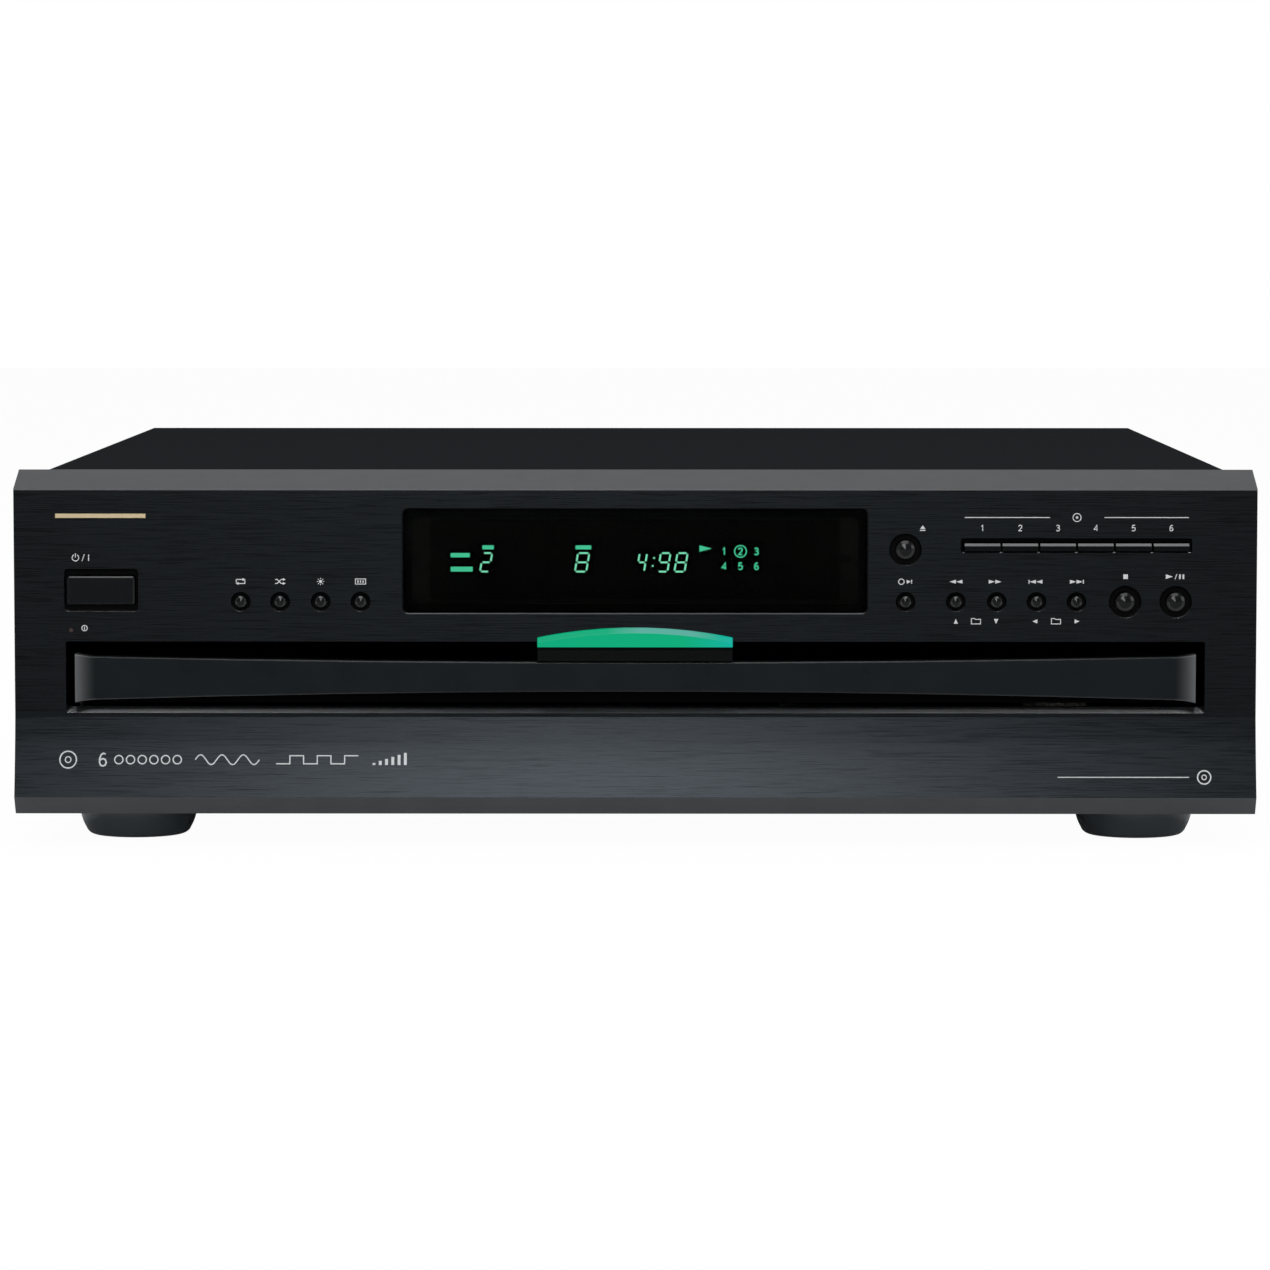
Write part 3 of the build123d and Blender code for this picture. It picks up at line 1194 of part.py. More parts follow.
# Lift frame: skirted plate with the pickup bay, guide rods and cam pins
BAY_Y = (SPINDLE_Y + LENS_START - PICKUP_BODY[1] / 2 - PICKUP_BAY_GAP,
         SPINDLE_Y + LENS_START + LENS_TRAVEL + PICKUP_BODY[1] / 2 + PICKUP_BAY_GAP)
with BuildPart() as lift_frame:
    with BuildSketch(Plane.XY.offset(LIFT_TOP - LIFT_T)):
        rect_between(-LIFT_HALF, LIFT_HALF, LIFT_FRONT_Y, LIFT_BACK_Y, LIFT_CORNER_R)
    extrude(amount=LIFT_T)
    with BuildSketch(Plane.XY.offset(LIFT_TOP - LIFT_T - LIFT_WALL_DROP)):
        rect_between(-LIFT_HALF, LIFT_HALF, LIFT_FRONT_Y, LIFT_BACK_Y, LIFT_CORNER_R)
        with Locations((0, (LIFT_FRONT_Y + LIFT_BACK_Y) / 2)):
            RectangleRounded(2 * (LIFT_HALF - LIFT_WALL),
                             LIFT_BACK_Y - LIFT_FRONT_Y - 2 * LIFT_WALL,
                             LIFT_CORNER_R / 2, mode=Mode.SUBTRACT)
        with Locations(*POST_PLACES):
            Circle(POST_D / 2 + LIFT_WALL)
    extrude(amount=LIFT_WALL_DROP)
    with BuildSketch(Plane.XY.offset(LIFT_TOP - LIFT_T)):
        rect_between(-PICKUP_BAY_W / 2, PICKUP_BAY_W / 2, BAY_Y[0], BAY_Y[1], LIFT_CORNER_R / 2)
        disc_at(0, SPINDLE_Y, SPINDLE_HOLE)
    extrude(amount=LIFT_T, mode=Mode.SUBTRACT)
    with BuildSketch(Plane.XY.offset(DECK_Z)):
        with Locations(*POST_PLACES):
            Circle(POST_D / 2 + PIVOT_GAP)
    extrude(amount=LIFT_TOP, mode=Mode.SUBTRACT)
    with BuildSketch(facing(BAY_Y[0] - ROD_SEAT)):
        disc_at(-ROD_X, ROD_Z, ROD_D)
        disc_at(ROD_X, ROD_Z, ROD_D)
    extrude(amount=-(BAY_Y[1] - BAY_Y[0] + 2 * ROD_SEAT))
    with BuildSketch(facing(LIFT_FRONT_Y)):
        for pin_x in PIN_X:
            disc_at(pin_x, PIN_Z, PIN_D)
    extrude(amount=LIFT_FRONT_Y - CAM_Y)
save(lift_frame, "lift_frame")

# Spindle motor: flat motor under the lift frame with its shaft
with BuildPart() as spindle_motor:
    with BuildSketch(Plane.XY.offset(LIFT_TOP - LIFT_T - SPINDLE_MOTOR_H)):
        disc_at(0, SPINDLE_Y, SPINDLE_MOTOR_D)
    extrude(amount=SPINDLE_MOTOR_H)
    fillet(spindle_motor.edges().group_by(Axis.Z)[0], MOTOR_EDGE)
    with BuildSketch(Plane.XY.offset(LIFT_TOP - LIFT_T)):
        disc_at(0, SPINDLE_Y, SPINDLE_D)
    extrude(amount=PLATTER_TOP - LIFT_TOP + LIFT_T)
save(spindle_motor, "spindle_motor")

# Platter: turntable with the centring cone
with BuildPart() as platter:
    with BuildSketch(Plane.YZ):
        bore_r = SPINDLE_D / 2 + SHAFT_FIT
        with BuildLine():
            Polyline(
                (SPINDLE_Y + bore_r, LIFT_TOP + PLATTER_CLEAR),
                (SPINDLE_Y + PLATTER_NECK_R, LIFT_TOP + PLATTER_CLEAR),
                (SPINDLE_Y + PLATTER_NECK_R, PLATTER_TOP - PLATTER_T),
                (SPINDLE_Y + PLATTER_R, PLATTER_TOP - PLATTER_T),
                (SPINDLE_Y + PLATTER_R, PLATTER_TOP),
                (SPINDLE_Y + CONE_R, PLATTER_TOP),
                (SPINDLE_Y + CONE_R - CONE_SLOPE, PLATTER_TOP + CONE_RISE),
                (SPINDLE_Y + bore_r, PLATTER_TOP + CONE_RISE),
                close=True,
            )
        make_face()
    revolve(axis=Axis((0, SPINDLE_Y, 0), (0, 0, 1)))
save(platter, "platter")

# Optical pickup: sled on the guide rods with the lens on top
LENS_Y = SPINDLE_Y + LENS_START
PICKUP_BOTTOM = ROD_Z - PICKUP_BELOW_ROD
PICKUP_DECK = PICKUP_TOP - LENS_HEIGHT
with BuildPart() as pickup:
    with BuildSketch(Plane.XY.offset(PICKUP_BOTTOM)):
        with Locations((0, LENS_Y)):
            RectangleRounded(PICKUP_BODY[0], PICKUP_BODY[1], PICKUP_CORNER_R)
    extrude(amount=PICKUP_DECK - PICKUP_BOTTOM)
    chamfer(pickup.edges().group_by(Axis.Z)[-1], PICKUP_EDGE)
    with BuildSketch(Plane.XY.offset(ROD_Z - PICKUP_EAR_T / 2)):
        with Locations((0, LENS_Y)):
            Rectangle(*PICKUP_EAR)
    extrude(amount=PICKUP_EAR_T)
    with BuildSketch(facing(LENS_Y - PICKUP_BODY[1])):
        disc_at(-ROD_X, ROD_Z, ROD_D + 2 * PIVOT_GAP)
        disc_at(ROD_X, ROD_Z, ROD_D + 2 * PIVOT_GAP)
    extrude(amount=-2 * PICKUP_BODY[1], mode=Mode.SUBTRACT)
    with BuildSketch(Plane.XY.offset(PICKUP_DECK)):
        disc_at(0, LENS_Y, LENS_D)
    extrude(amount=LENS_HEIGHT, taper=LENS_TAPER)
save(pickup, "pickup")

# Clamp bridge: stiffened strip across both rails, above the play position
BRIDGE_END = RAIL_X + RAIL_T
BRIDGE_FOOT = RAIL_X - RAIL_LIP
with BuildPart() as clamp_bridge:
    with BuildSketch(facing(SPINDLE_Y - BRIDGE_W / 2)):
        with BuildLine():
            Polyline(
                (0, BRIDGE_Z),
                (BRIDGE_FOOT - BRIDGE_RAMP, BRIDGE_Z),
                (BRIDGE_FOOT, RAIL_TOP),
                (BRIDGE_END, RAIL_TOP),
                (BRIDGE_END, RAIL_TOP + BRIDGE_T),
                (BRIDGE_FOOT, RAIL_TOP + BRIDGE_T),
                (BRIDGE_FOOT - BRIDGE_RAMP, BRIDGE_Z + BRIDGE_T),
                (0, BRIDGE_Z + BRIDGE_T),
                close=True,
            )
        make_face()
    extrude(amount=-BRIDGE_W)
    for flange_y in (SPINDLE_Y - BRIDGE_W / 2, SPINDLE_Y + BRIDGE_W / 2 - BRIDGE_T):
        with BuildSketch(facing(flange_y)):
            rect_between(0, BRIDGE_FOOT - BRIDGE_RAMP, BRIDGE_Z, BRIDGE_Z + BRIDGE_FLANGE)
        extrude(amount=-BRIDGE_T)
    mirror(about=Plane.YZ)
    with BuildSketch(Plane.XY.offset(BRIDGE_Z)):
        disc_at(0, SPINDLE_Y, 2 * (PUCK_NECK_R + PUCK_PLAY))
    extrude(amount=BRIDGE_T, mode=Mode.SUBTRACT)
save(clamp_bridge, "clamp_bridge")

# Clamp puck: hangs in the bridge's hole by its upper flange
PUCK_Z = PLATTER_TOP + LIFT_TRAVEL + DISC_T + CLAMP_GAP
PUCK_FLANGE_Z = BRIDGE_Z + BRIDGE_T + GAP
with BuildPart() as clamp_puck:
    with BuildSketch(Plane.YZ):
        recess_r = CONE_R + PUCK_RECESS_GAP
        with BuildLine():
            Polyline(
                (SPINDLE_Y, PUCK_Z + CONE_RISE),
                (SPINDLE_Y + recess_r - CONE_SLOPE, PUCK_Z + CONE_RISE),
                (SPINDLE_Y + recess_r, PUCK_Z),
                (SPINDLE_Y + PUCK_R, PUCK_Z),
                (SPINDLE_Y + PUCK_R, PUCK_Z + PUCK_T),
                (SPINDLE_Y + PUCK_NECK_R, PUCK_Z + PUCK_T),
                (SPINDLE_Y + PUCK_NECK_R, PUCK_FLANGE_Z),
                (SPINDLE_Y + PUCK_FLANGE_R, PUCK_FLANGE_Z),
                (SPINDLE_Y + PUCK_FLANGE_R, PUCK_FLANGE_Z + PUCK_FLANGE_T),
                (SPINDLE_Y, PUCK_FLANGE_Z + PUCK_FLANGE_T),
                close=True,
            )
        make_face()
    revolve(axis=Axis((0, SPINDLE_Y, 0), (0, 0, 1)))
save(clamp_puck, "clamp_puck")

# Chassis base: folded sheet with vents under the main board
BOARD_L = LEDGE_FRONT - BOARD_LIFT_GAP - CASE_FRONT - MAIN_BOARD_INSET
BOARD_Y = CASE_FRONT + MAIN_BOARD_INSET + BOARD_L / 2
with BuildPart() as chassis_base:
    with BuildSketch(Plane.XY.offset(BASE_Z)):
        rect_between(-CASE_HALF, CASE_HALF, CASE_FRONT, REAR_PANEL_Y)
    extrude(amount=SHEET)
    with BuildSketch(Plane.XY.offset(BASE_Z)):
        rect_between(-CASE_HALF, CASE_HALF, CASE_FRONT, REAR_PANEL_Y)
        with Locations((0, (CASE_FRONT + REAR_PANEL_Y) / 2)):
            Rectangle(2 * (CASE_HALF - SHEET), REAR_PANEL_Y - CASE_FRONT - 2 * SHEET,
                      mode=Mode.SUBTRACT)
    extrude(amount=BASE_FLANGE)
    with BuildSketch(facing(CASE_FRONT)):
        rect_between(-CASE_HALF, CASE_HALF, BASE_Z, SLOT_Z[0] - FRONT_FLANGE_GAP)
    extrude(amount=-SHEET)
    with BuildSketch(Plane.XY.offset(BASE_Z)):
        with Locations((MAIN_BOARD_X, BOARD_Y)):
            with GridLocations(VENT_PITCH, BOARD_L / 3, VENT_COUNT, 3):
                SlotOverall(VENT_SIZE[0], VENT_SIZE[1], rotation=90)
    extrude(amount=SHEET, mode=Mode.SUBTRACT)
save(chassis_base, "chassis_base")

# Top cover: folded sheet with side skirts, a back lip and a low rib along its front edge
SKIRT_BOTTOM = BASE_Z + 2 * SHEET
with BuildPart() as top_cover:
    with BuildSketch(facing(CASE_FRONT)):
        rect_between(-COVER_WIDTH / 2, COVER_WIDTH / 2, SKIRT_BOTTOM, COVER_TOP)
    extrude(amount=-(REAR_Y - CASE_FRONT))
    fillet(top_cover.edges().filter_by(Axis.Y).group_by(Axis.Z)[-1], COVER_BEND)
    with BuildSketch(facing(CASE_FRONT)):
        with BuildLine():
            Polyline(
                (-CASE_HALF, SKIRT_BOTTOM),
                (-CASE_HALF, COVER_TOP - COVER_BEND),
                (-CASE_HALF + COVER_BEND - SHEET, COVER_TOP - SHEET),
                (CASE_HALF - COVER_BEND + SHEET, COVER_TOP - SHEET),
                (CASE_HALF, COVER_TOP - COVER_BEND),
                (CASE_HALF, SKIRT_BOTTOM),
                close=True,
            )
        make_face()
    extrude(amount=-(REAR_Y - CASE_FRONT - SHEET), mode=Mode.SUBTRACT)
    with BuildSketch(facing(REAR_Y)):
        rect_between(-CASE_HALF, CASE_HALF, SKIRT_BOTTOM, COVER_TOP - LIP_DROP)
    extrude(amount=SHEET, mode=Mode.SUBTRACT)
    with BuildSketch(Plane.XY.offset(COVER_TOP)):
        rect_between(-COVER_RIB[0] / 2, COVER_RIB[0] / 2, CASE_FRONT, CASE_FRONT + COVER_RIB[1])
    extrude(amount=COVER_RIB[2])
save(top_cover, "top_cover")

# Cover screws: two in each skirt and three along the back lip
with BuildPart() as cover_screws:
    with BuildSketch(Plane.YZ.offset(COVER_WIDTH / 2)):
        for screw_y in (CASE_FRONT + SIDE_SCREW_INSET, REAR_Y - SIDE_SCREW_INSET):
            disc_at(screw_y, SIDE_SCREW_Z, SCREW_HEAD_D)
    extrude(amount=SCREW_HEAD_T)
    mirror(about=Plane.YZ)
    with BuildSketch(facing(REAR_Y)):
        for screw_x in (-BACK_SCREW_X, 0, BACK_SCREW_X):
            disc_at(screw_x, COVER_TOP - LIP_DROP / 2, SCREW_HEAD_D)
    extrude(amount=-SCREW_HEAD_T)
    screw_rims = cover_screws.edges().filter_by(GeomType.CIRCLE)
    outer_rims = [
        rim for rim in screw_rims
        if abs(rim.center().X) > COVER_WIDTH / 2 + SHEET or rim.center().Y > REAR_Y + SHEET
    ]
    chamfer(outer_rims, SCREW_EDGE)
save(cover_screws, "cover_screws")


def foot_profile(x):
    """Half section of a foot to the right of its axis at x: bowl side, rounded lower corner."""
    top_r = FOOT_TOP_D / 2
    bottom_r = FOOT_BOTTOM_D / 2
    sole = (x + bottom_r - FOOT_HEEL[0], 0)
    heel = (x + bottom_r + FOOT_HEEL[0], FOOT_HEEL[1])
    Line((x, 0), sole)
    ThreePointArc(sole, (x + bottom_r + FOOT_ROUND[0], FOOT_ROUND[1]), heel)
    ThreePointArc(heel, (x + top_r - FOOT_ROUND[0], BASE_Z / 2), (x + top_r, BASE_Z))
    Polyline((x + top_r, BASE_Z), (x, BASE_Z), (x, 0))


def foot_pair(label, y):
    """Left and right foot at depth y."""
    with BuildPart() as feet:
        with BuildSketch(facing(y)):
            with BuildLine():
                foot_profile(FOOT_X)
            make_face()
        revolve(axis=Axis((FOOT_X, y, 0), (0, 0, 1)))
        mirror(about=Plane.YZ)
    save(feet, label)


foot_pair("front_feet", FACE_Y + FOOT_SETBACK)
foot_pair("rear_feet", REAR_Y - REAR_FOOT_INSET)

# Rear panel: flat sheet with a hole for each socket
PANEL_OUT = REAR_PANEL_Y + SHEET
JACK_PLACES = [(x, z) for x in AUDIO_X for z in AUDIO_Z] + [(COAX_X, AUDIO_Z[0])]
with BuildPart() as rear_panel:
    with BuildSketch(facing(PANEL_OUT)) as panel_outline:
        rect_between(-CASE_HALF, CASE_HALF, BASE_Z + SHEET, COVER_TOP - SHEET)
        top_corners = panel_outline.vertices().group_by(Axis.Y)[-1]
        chamfer(top_corners, COVER_BEND + GAP)
        with Locations((INLET_X, INLET_Z)):
            RectangleRounded(*INLET_NECK, INLET_NECK_R, mode=Mode.SUBTRACT)
        with Locations((OPTICAL_X, AUDIO_Z[0])):
            Rectangle(*OPTICAL_NECK, mode=Mode.SUBTRACT)
        with Locations(*JACK_PLACES, *[(x, REMOTE_Z) for x in REMOTE_X]):
            Circle(JACK_HOLE_D / 2, mode=Mode.SUBTRACT)
        with Locations((0, REAR_VENT_Z)):
            with GridLocations(VENT_PITCH, 1, VENT_COUNT, 1):
                SlotOverall(VENT_SIZE[0], VENT_SIZE[1], rotation=90, mode=Mode.SUBTRACT)
    extrude(amount=SHEET)
save(rear_panel, "rear_panel")

# Audio sockets: five shells with their centre contacts on two moulded bodies
SOCKET_TIP = DEPTH / 2
with BuildPart() as audio_jacks:
    with BuildSketch(facing(PANEL_OUT)):
        with Locations(*JACK_PLACES):
            Circle(JACK_HOLE_D / 2)
    extrude(amount=SHEET + JACK_BODY_T)
    with BuildSketch(facing(REAR_PANEL_Y)):
        rect_between(AUDIO_X[0] - JACK_BODY_MARGIN, AUDIO_X[1] + JACK_BODY_MARGIN,
                     AUDIO_Z[0] - JACK_BODY_MARGIN, AUDIO_Z[1] + JACK_BODY_MARGIN)
        with Locations((COAX_X, AUDIO_Z[0])):
            Rectangle(2 * JACK_BODY_MARGIN, 2 * JACK_BODY_MARGIN)
    extrude(amount=JACK_BODY_T)
    with BuildSketch(facing(PANEL_OUT)):
        with Locations(*JACK_PLACES):
            Circle(JACK_COLLAR_D / 2)
    extrude(amount=-JACK_COLLAR_T)
    with BuildSketch(facing(PANEL_OUT)):
        with Locations(*JACK_PLACES):
            Circle(AUDIO_SHELL_D / 2)
    extrude(amount=-(SOCKET_TIP - PANEL_OUT))
    with BuildSketch(facing(SOCKET_TIP)):
        with Locations(*JACK_PLACES):
            Circle(AUDIO_PIN_D / 2)
    extrude(amount=SOCKET_REACH, mode=Mode.SUBTRACT)
save(audio_jacks, "audio_jacks")

# Optical socket: square housing with a shuttered mouth
with BuildPart() as optical_jack:
    with BuildSketch(facing(REAR_PANEL_Y)):
        with Locations((OPTICAL_X, AUDIO_Z[0])):
            Rectangle(*OPTICAL_SIZE)
    extrude(amount=JACK_BODY_T)
    with BuildSketch(facing(REAR_PANEL_Y)):
        with Locations((OPTICAL_X, AUDIO_Z[0])):
            Rectangle(*OPTICAL_NECK)
    extrude(amount=-(PANEL_OUT - REAR_PANEL_Y + OPTICAL_PROUD))
    with BuildSketch(facing(PANEL_OUT + OPTICAL_PROUD)):
        with Locations((OPTICAL_X, AUDIO_Z[0])):
            Rectangle(*OPTICAL_MOUTH)
    extrude(amount=OPTICAL_MOUTH_DEPTH, mode=Mode.SUBTRACT)
save(optical_jack, "optical_jack")

# Remote sockets: two threaded-collar mini sockets on one body
with BuildPart() as remote_jacks:
    with BuildSketch(facing(REAR_PANEL_Y)):
        rect_between(REMOTE_X[0] - REMOTE_BODY_MARGIN, REMOTE_X[1] + REMOTE_BODY_MARGIN,
                     REMOTE_Z - REMOTE_BODY_MARGIN, REMOTE_Z + REMOTE_BODY_MARGIN)
    extrude(amount=JACK_BODY_T)
    with BuildSketch(facing(REAR_PANEL_Y)):
        with Locations(*[(x, REMOTE_Z) for x in REMOTE_X]):
            Circle(JACK_HOLE_D / 2)
    extrude(amount=-(REMOTE_TIP - REAR_PANEL_Y))
    with BuildSketch(facing(REMOTE_TIP)):
        with Locations(*[(x, REMOTE_Z) for x in REMOTE_X]):
            Circle(REMOTE_BORE_D / 2)
    extrude(amount=REMOTE_LENGTH, mode=Mode.SUBTRACT)
save(remote_jacks, "remote_jacks")

# Power inlet: two-pin socket with a pocket of two joined rounds
with BuildPart() as power_inlet:
    with BuildSketch(facing(PANEL_OUT + INLET_FLANGE)):
        with Locations((INLET_X, INLET_Z)):
            RectangleRounded(INLET_SIZE[0], INLET_SIZE[1], INLET_R)
    extrude(amount=INLET_FLANGE)
    with BuildSketch(facing(PANEL_OUT)):
        with Locations((INLET_X, INLET_Z)):
            RectangleRounded(*INLET_NECK, INLET_NECK_R)
    extrude(amount=INLET_DEPTH + INLET_FLOOR - INLET_FLANGE)
    with BuildSketch(facing(PANEL_OUT + INLET_FLANGE)):
        with Locations((INLET_X, INLET_Z)):
            with GridLocations(INLET_POCKET[0] - INLET_POCKET[1], 1, 2, 1):
                Circle(INLET_POCKET[1] / 2)
            Rectangle(INLET_POCKET[0] - INLET_POCKET[1], INLET_WAIST)
    extrude(amount=INLET_DEPTH, mode=Mode.SUBTRACT)
    with BuildSketch(facing(PANEL_OUT + INLET_FLANGE - INLET_DEPTH)):
        with Locations((INLET_X, INLET_Z)):
            with GridLocations(INLET_PIN_PITCH, 1, 2, 1):
                Circle(INLET_PIN_D / 2)
    extrude(amount=-(INLET_DEPTH - INLET_PIN_SETBACK))
save(power_inlet, "power_inlet")

# Mains transformer: laminated core with its bobbin
TRANSFORMER_Y = REAR_PANEL_Y - TRANSFORMER_INSET
with BuildPart() as transformer:
    core_middle_z = DECK_Z + TRANSFORMER_SIZE[2] / 2
    with BuildSketch(Plane.XY.offset(DECK_Z)):
        with Locations((TRANSFORMER_X, TRANSFORMER_Y)):
            Rectangle(TRANSFORMER_SIZE[0], TRANSFORMER_SIZE[1])
            Rectangle(*TRANSFORMER_STRAP)
    extrude(amount=SHEET)
    with BuildSketch(Plane.XY.offset(DECK_Z + SHEET)):
        with Locations((TRANSFORMER_X, TRANSFORMER_Y)):
            Rectangle(TRANSFORMER_SIZE[0], CORE_STACK)
    extrude(amount=TRANSFORMER_SIZE[2] - SHEET)
    with BuildSketch(facing(TRANSFORMER_Y - COIL_SIZE[1] / 2)):
        with Locations((TRANSFORMER_X, core_middle_z)):
            RectangleRounded(COIL_SIZE[0], COIL_SIZE[2], COIL_R)
    extrude(amount=-COIL_SIZE[1])
save(transformer, "transformer")

# Main board: on four spacers, with capacitors, chips and a heat sink
PARTS_Z = MAIN_BOARD_Z + BOARD_T
with BuildPart() as main_board:
    with BuildSketch(Plane.XY.offset(MAIN_BOARD_Z)):
        with Locations((MAIN_BOARD_X, BOARD_Y)):
            Rectangle(BOARD_W, BOARD_L)
    extrude(amount=BOARD_T)
    with BuildSketch(Plane.XY.offset(DECK_Z)):
        with Locations((MAIN_BOARD_X, BOARD_Y)):
            with GridLocations(BOARD_W - 2 * SPACER_INSET, BOARD_L - 2 * SPACER_INSET, 2, 2):
                Circle(SPACER_D / 2)
    extrude(amount=MAIN_BOARD_Z - DECK_Z)
    with BuildSketch(Plane.XY.offset(PARTS_Z)):
        with Locations((MAIN_BOARD_X + CAPACITOR_AT[0], BOARD_Y + CAPACITOR_AT[1])):
            with GridLocations(CAPACITOR_PITCH, CAPACITOR_PITCH, 2, 3):
                Circle(CAPACITOR_D / 2)
    extrude(amount=CAPACITOR_H)
    with BuildSketch(Plane.XY.offset(PARTS_Z)):
        for chip_x, chip_y, chip_w, chip_l in CHIPS:
            with Locations((MAIN_BOARD_X + chip_x, BOARD_Y + chip_y)):
                Rectangle(chip_w, chip_l)
    extrude(amount=CHIP_T)
    with BuildSketch(Plane.XY.offset(PARTS_Z)):
        with Locations((MAIN_BOARD_X + HEAT_SINK_AT[0], BOARD_Y + HEAT_SINK_AT[1])):
            Rectangle(HEAT_SINK_W, HEAT_SINK_T)
            with GridLocations(FIN_PITCH, 1, FIN_COUNT, 1):
                Rectangle(FIN_T, FIN_L)
    extrude(amount=HEAT_SINK_H)
save(main_board, "main_board")
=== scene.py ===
import math

import bmesh
import bpy
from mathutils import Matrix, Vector
from mathutils.bvhtree import BVHTree
from mathutils.geometry import tessellate_polygon


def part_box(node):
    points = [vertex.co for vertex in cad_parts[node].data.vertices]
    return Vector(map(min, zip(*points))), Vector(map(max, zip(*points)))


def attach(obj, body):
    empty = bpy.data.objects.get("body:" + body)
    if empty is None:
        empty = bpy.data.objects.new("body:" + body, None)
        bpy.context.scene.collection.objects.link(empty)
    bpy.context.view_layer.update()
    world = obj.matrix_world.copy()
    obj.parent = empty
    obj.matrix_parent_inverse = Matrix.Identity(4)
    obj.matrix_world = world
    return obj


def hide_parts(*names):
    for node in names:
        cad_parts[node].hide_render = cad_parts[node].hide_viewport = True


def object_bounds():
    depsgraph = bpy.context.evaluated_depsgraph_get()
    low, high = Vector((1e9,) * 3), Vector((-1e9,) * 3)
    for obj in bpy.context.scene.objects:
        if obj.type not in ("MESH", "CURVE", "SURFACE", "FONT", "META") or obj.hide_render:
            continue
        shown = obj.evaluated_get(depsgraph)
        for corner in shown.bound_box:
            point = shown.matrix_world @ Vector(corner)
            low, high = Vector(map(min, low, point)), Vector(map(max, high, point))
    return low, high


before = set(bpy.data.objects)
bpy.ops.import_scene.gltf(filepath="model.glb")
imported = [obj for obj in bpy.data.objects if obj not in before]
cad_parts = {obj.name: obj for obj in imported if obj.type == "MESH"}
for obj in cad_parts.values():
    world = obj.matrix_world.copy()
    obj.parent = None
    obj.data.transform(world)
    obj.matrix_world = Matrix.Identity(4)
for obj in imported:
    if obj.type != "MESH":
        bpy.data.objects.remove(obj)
cad_low, cad_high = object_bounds()

MM = 0.001

# Places worked out from the frame
plate_low, plate_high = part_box("front_plate")
panel_low, panel_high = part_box("rear_panel")
FACE_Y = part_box("lens_holder")[0].y
TUBE_FACE_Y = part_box("display_tube")[0].y
PANEL_Y = panel_high.y

# Printed films: how far they stand out of the surface and reach into it
INK_OUT = 0.04 * MM
INK_IN = 0.02 * MM
# Films on a bent surface are cut into strips this high, so that they follow it
STRIP_COUNT = 24
STRIP_HEIGHT = 0.8 * MM

# Camera: where the photograph was taken from
CAMERA = Vector((10.8, -2050.0, 218.0)) * MM
CAMERA_TARGET = Vector((0.0, -212.0, 74.85)) * MM
CAMERA_LENS = 149.2


# Shapes

def add_object(name, data):
    """New object in the scene."""
    made = bpy.data.objects.new(name, data)
    bpy.context.scene.collection.objects.link(made)
    return made


def piece(name, shape, body, finish, replaced=()):
    """Put a finished bmesh into the scene as a piece that rides on a CAD body."""
    bmesh.ops.recalc_face_normals(shape, faces=shape.faces[:])
    mesh = bpy.data.meshes.new(name)
    shape.to_mesh(mesh)
    shape.free()
    mesh.materials.append(finish)
    made = add_object(name, mesh)
    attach(made, body)
    if replaced:
        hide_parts(*replaced)


CIRCLE_PARTS = 40


def circle(x, z, radius, parts=CIRCLE_PARTS):
    """Points round a circle."""
    turns = [2 * math.pi * part / parts for part in range(parts)]
    return [(x + radius * math.cos(turn), z + radius * math.sin(turn)) for turn in turns]


def polygon(flat, points):
    """Filled outline in the flat drawing."""
    flat.faces.new([flat.verts.new((x, 0, z)) for x, z in points])


def box_at(flat, x, z, width, height, slant=0.0):
    """Filled upright rectangle about its middle, leaning to the right by slant."""
    half, rise = width / 2, height / 2
    lean = slant * rise
    polygon(flat, [(x - half - lean, z - rise), (x + half - lean, z - rise),
                   (x + half + lean, z + rise), (x - half + lean, z + rise)])


def arrow(flat, x, z, length, height, way):
    """Filled triangle about its middle that points to way: 0 right, 1 up, 2 left, 3 down."""
    corners = [(length / 2, 0), (-length / 2, height / 2), (-length / 2, -height / 2)]
    turn = math.pi / 2 * way
    polygon(flat, [(x + a * math.cos(turn) - b * math.sin(turn),
                    z + a * math.sin(turn) + b * math.cos(turn)) for a, b in corners])


def stroke(flat, points, width, closed=False):
    """Line of even width along the points, mitred at its corners."""
    count = len(points)
    sides = []
    for index, (x, z) in enumerate(points):
        before = points[index - 1] if index or closed else None
        after = points[(index + 1) % count] if index < count - 1 or closed else None
        normals = []
        for start, end in ((before, (x, z)), ((x, z), after)):
            if start and end:
                along = Vector((end[0] - start[0], end[1] - start[1])).normalized()
                normals.append(Vector((-along.y, along.x)))
        middle = sum(normals, Vector((0, 0))).normalized()
        reach = width / 2 / max(0.5, middle.dot(normals[0]))
        sides.append((flat.verts.new((x + middle.x * reach, 0, z + middle.y * reach)),
                      flat.verts.new((x - middle.x * reach, 0, z - middle.y * reach))))
    for index in range(count if closed else count - 1):
        (left, right), (next_left, next_right) = sides[index], sides[(index + 1) % count]
        flat.faces.new([left, next_left, next_right, right])


def ring(flat, x, z, radius, width):
    """Circle drawn with a line of this width."""
    stroke(flat, circle(x, z, radius), width, closed=True)


NUMERALS = {
    1: [(10, 76), (34, 100), (34, 0)],
    2: [(3, 74), (8, 92), (22, 100), (38, 100), (52, 92), (57, 76), (52, 58), (3, 2), (60, 2)],
    3: [(4, 86), (16, 98), (32, 100), (48, 94), (54, 78), (46, 60), (26, 54), (48, 48),
        (58, 28), (50, 8), (32, 0), (14, 3), (2, 16)],
    4: [(48, 0), (48, 100), (0, 28), (62, 28)],
    5: [(54, 100), (12, 100), (7, 54), (22, 62), (38, 63), (54, 52), (59, 32), (51, 10),
        (32, 0), (14, 3), (2, 14)],
    6: [(52, 94), (34, 100), (16, 88), (5, 58), (4, 28), (14, 6), (32, 0), (50, 8), (58, 28),
        (50, 50), (32, 58), (14, 52), (5, 36)],
}


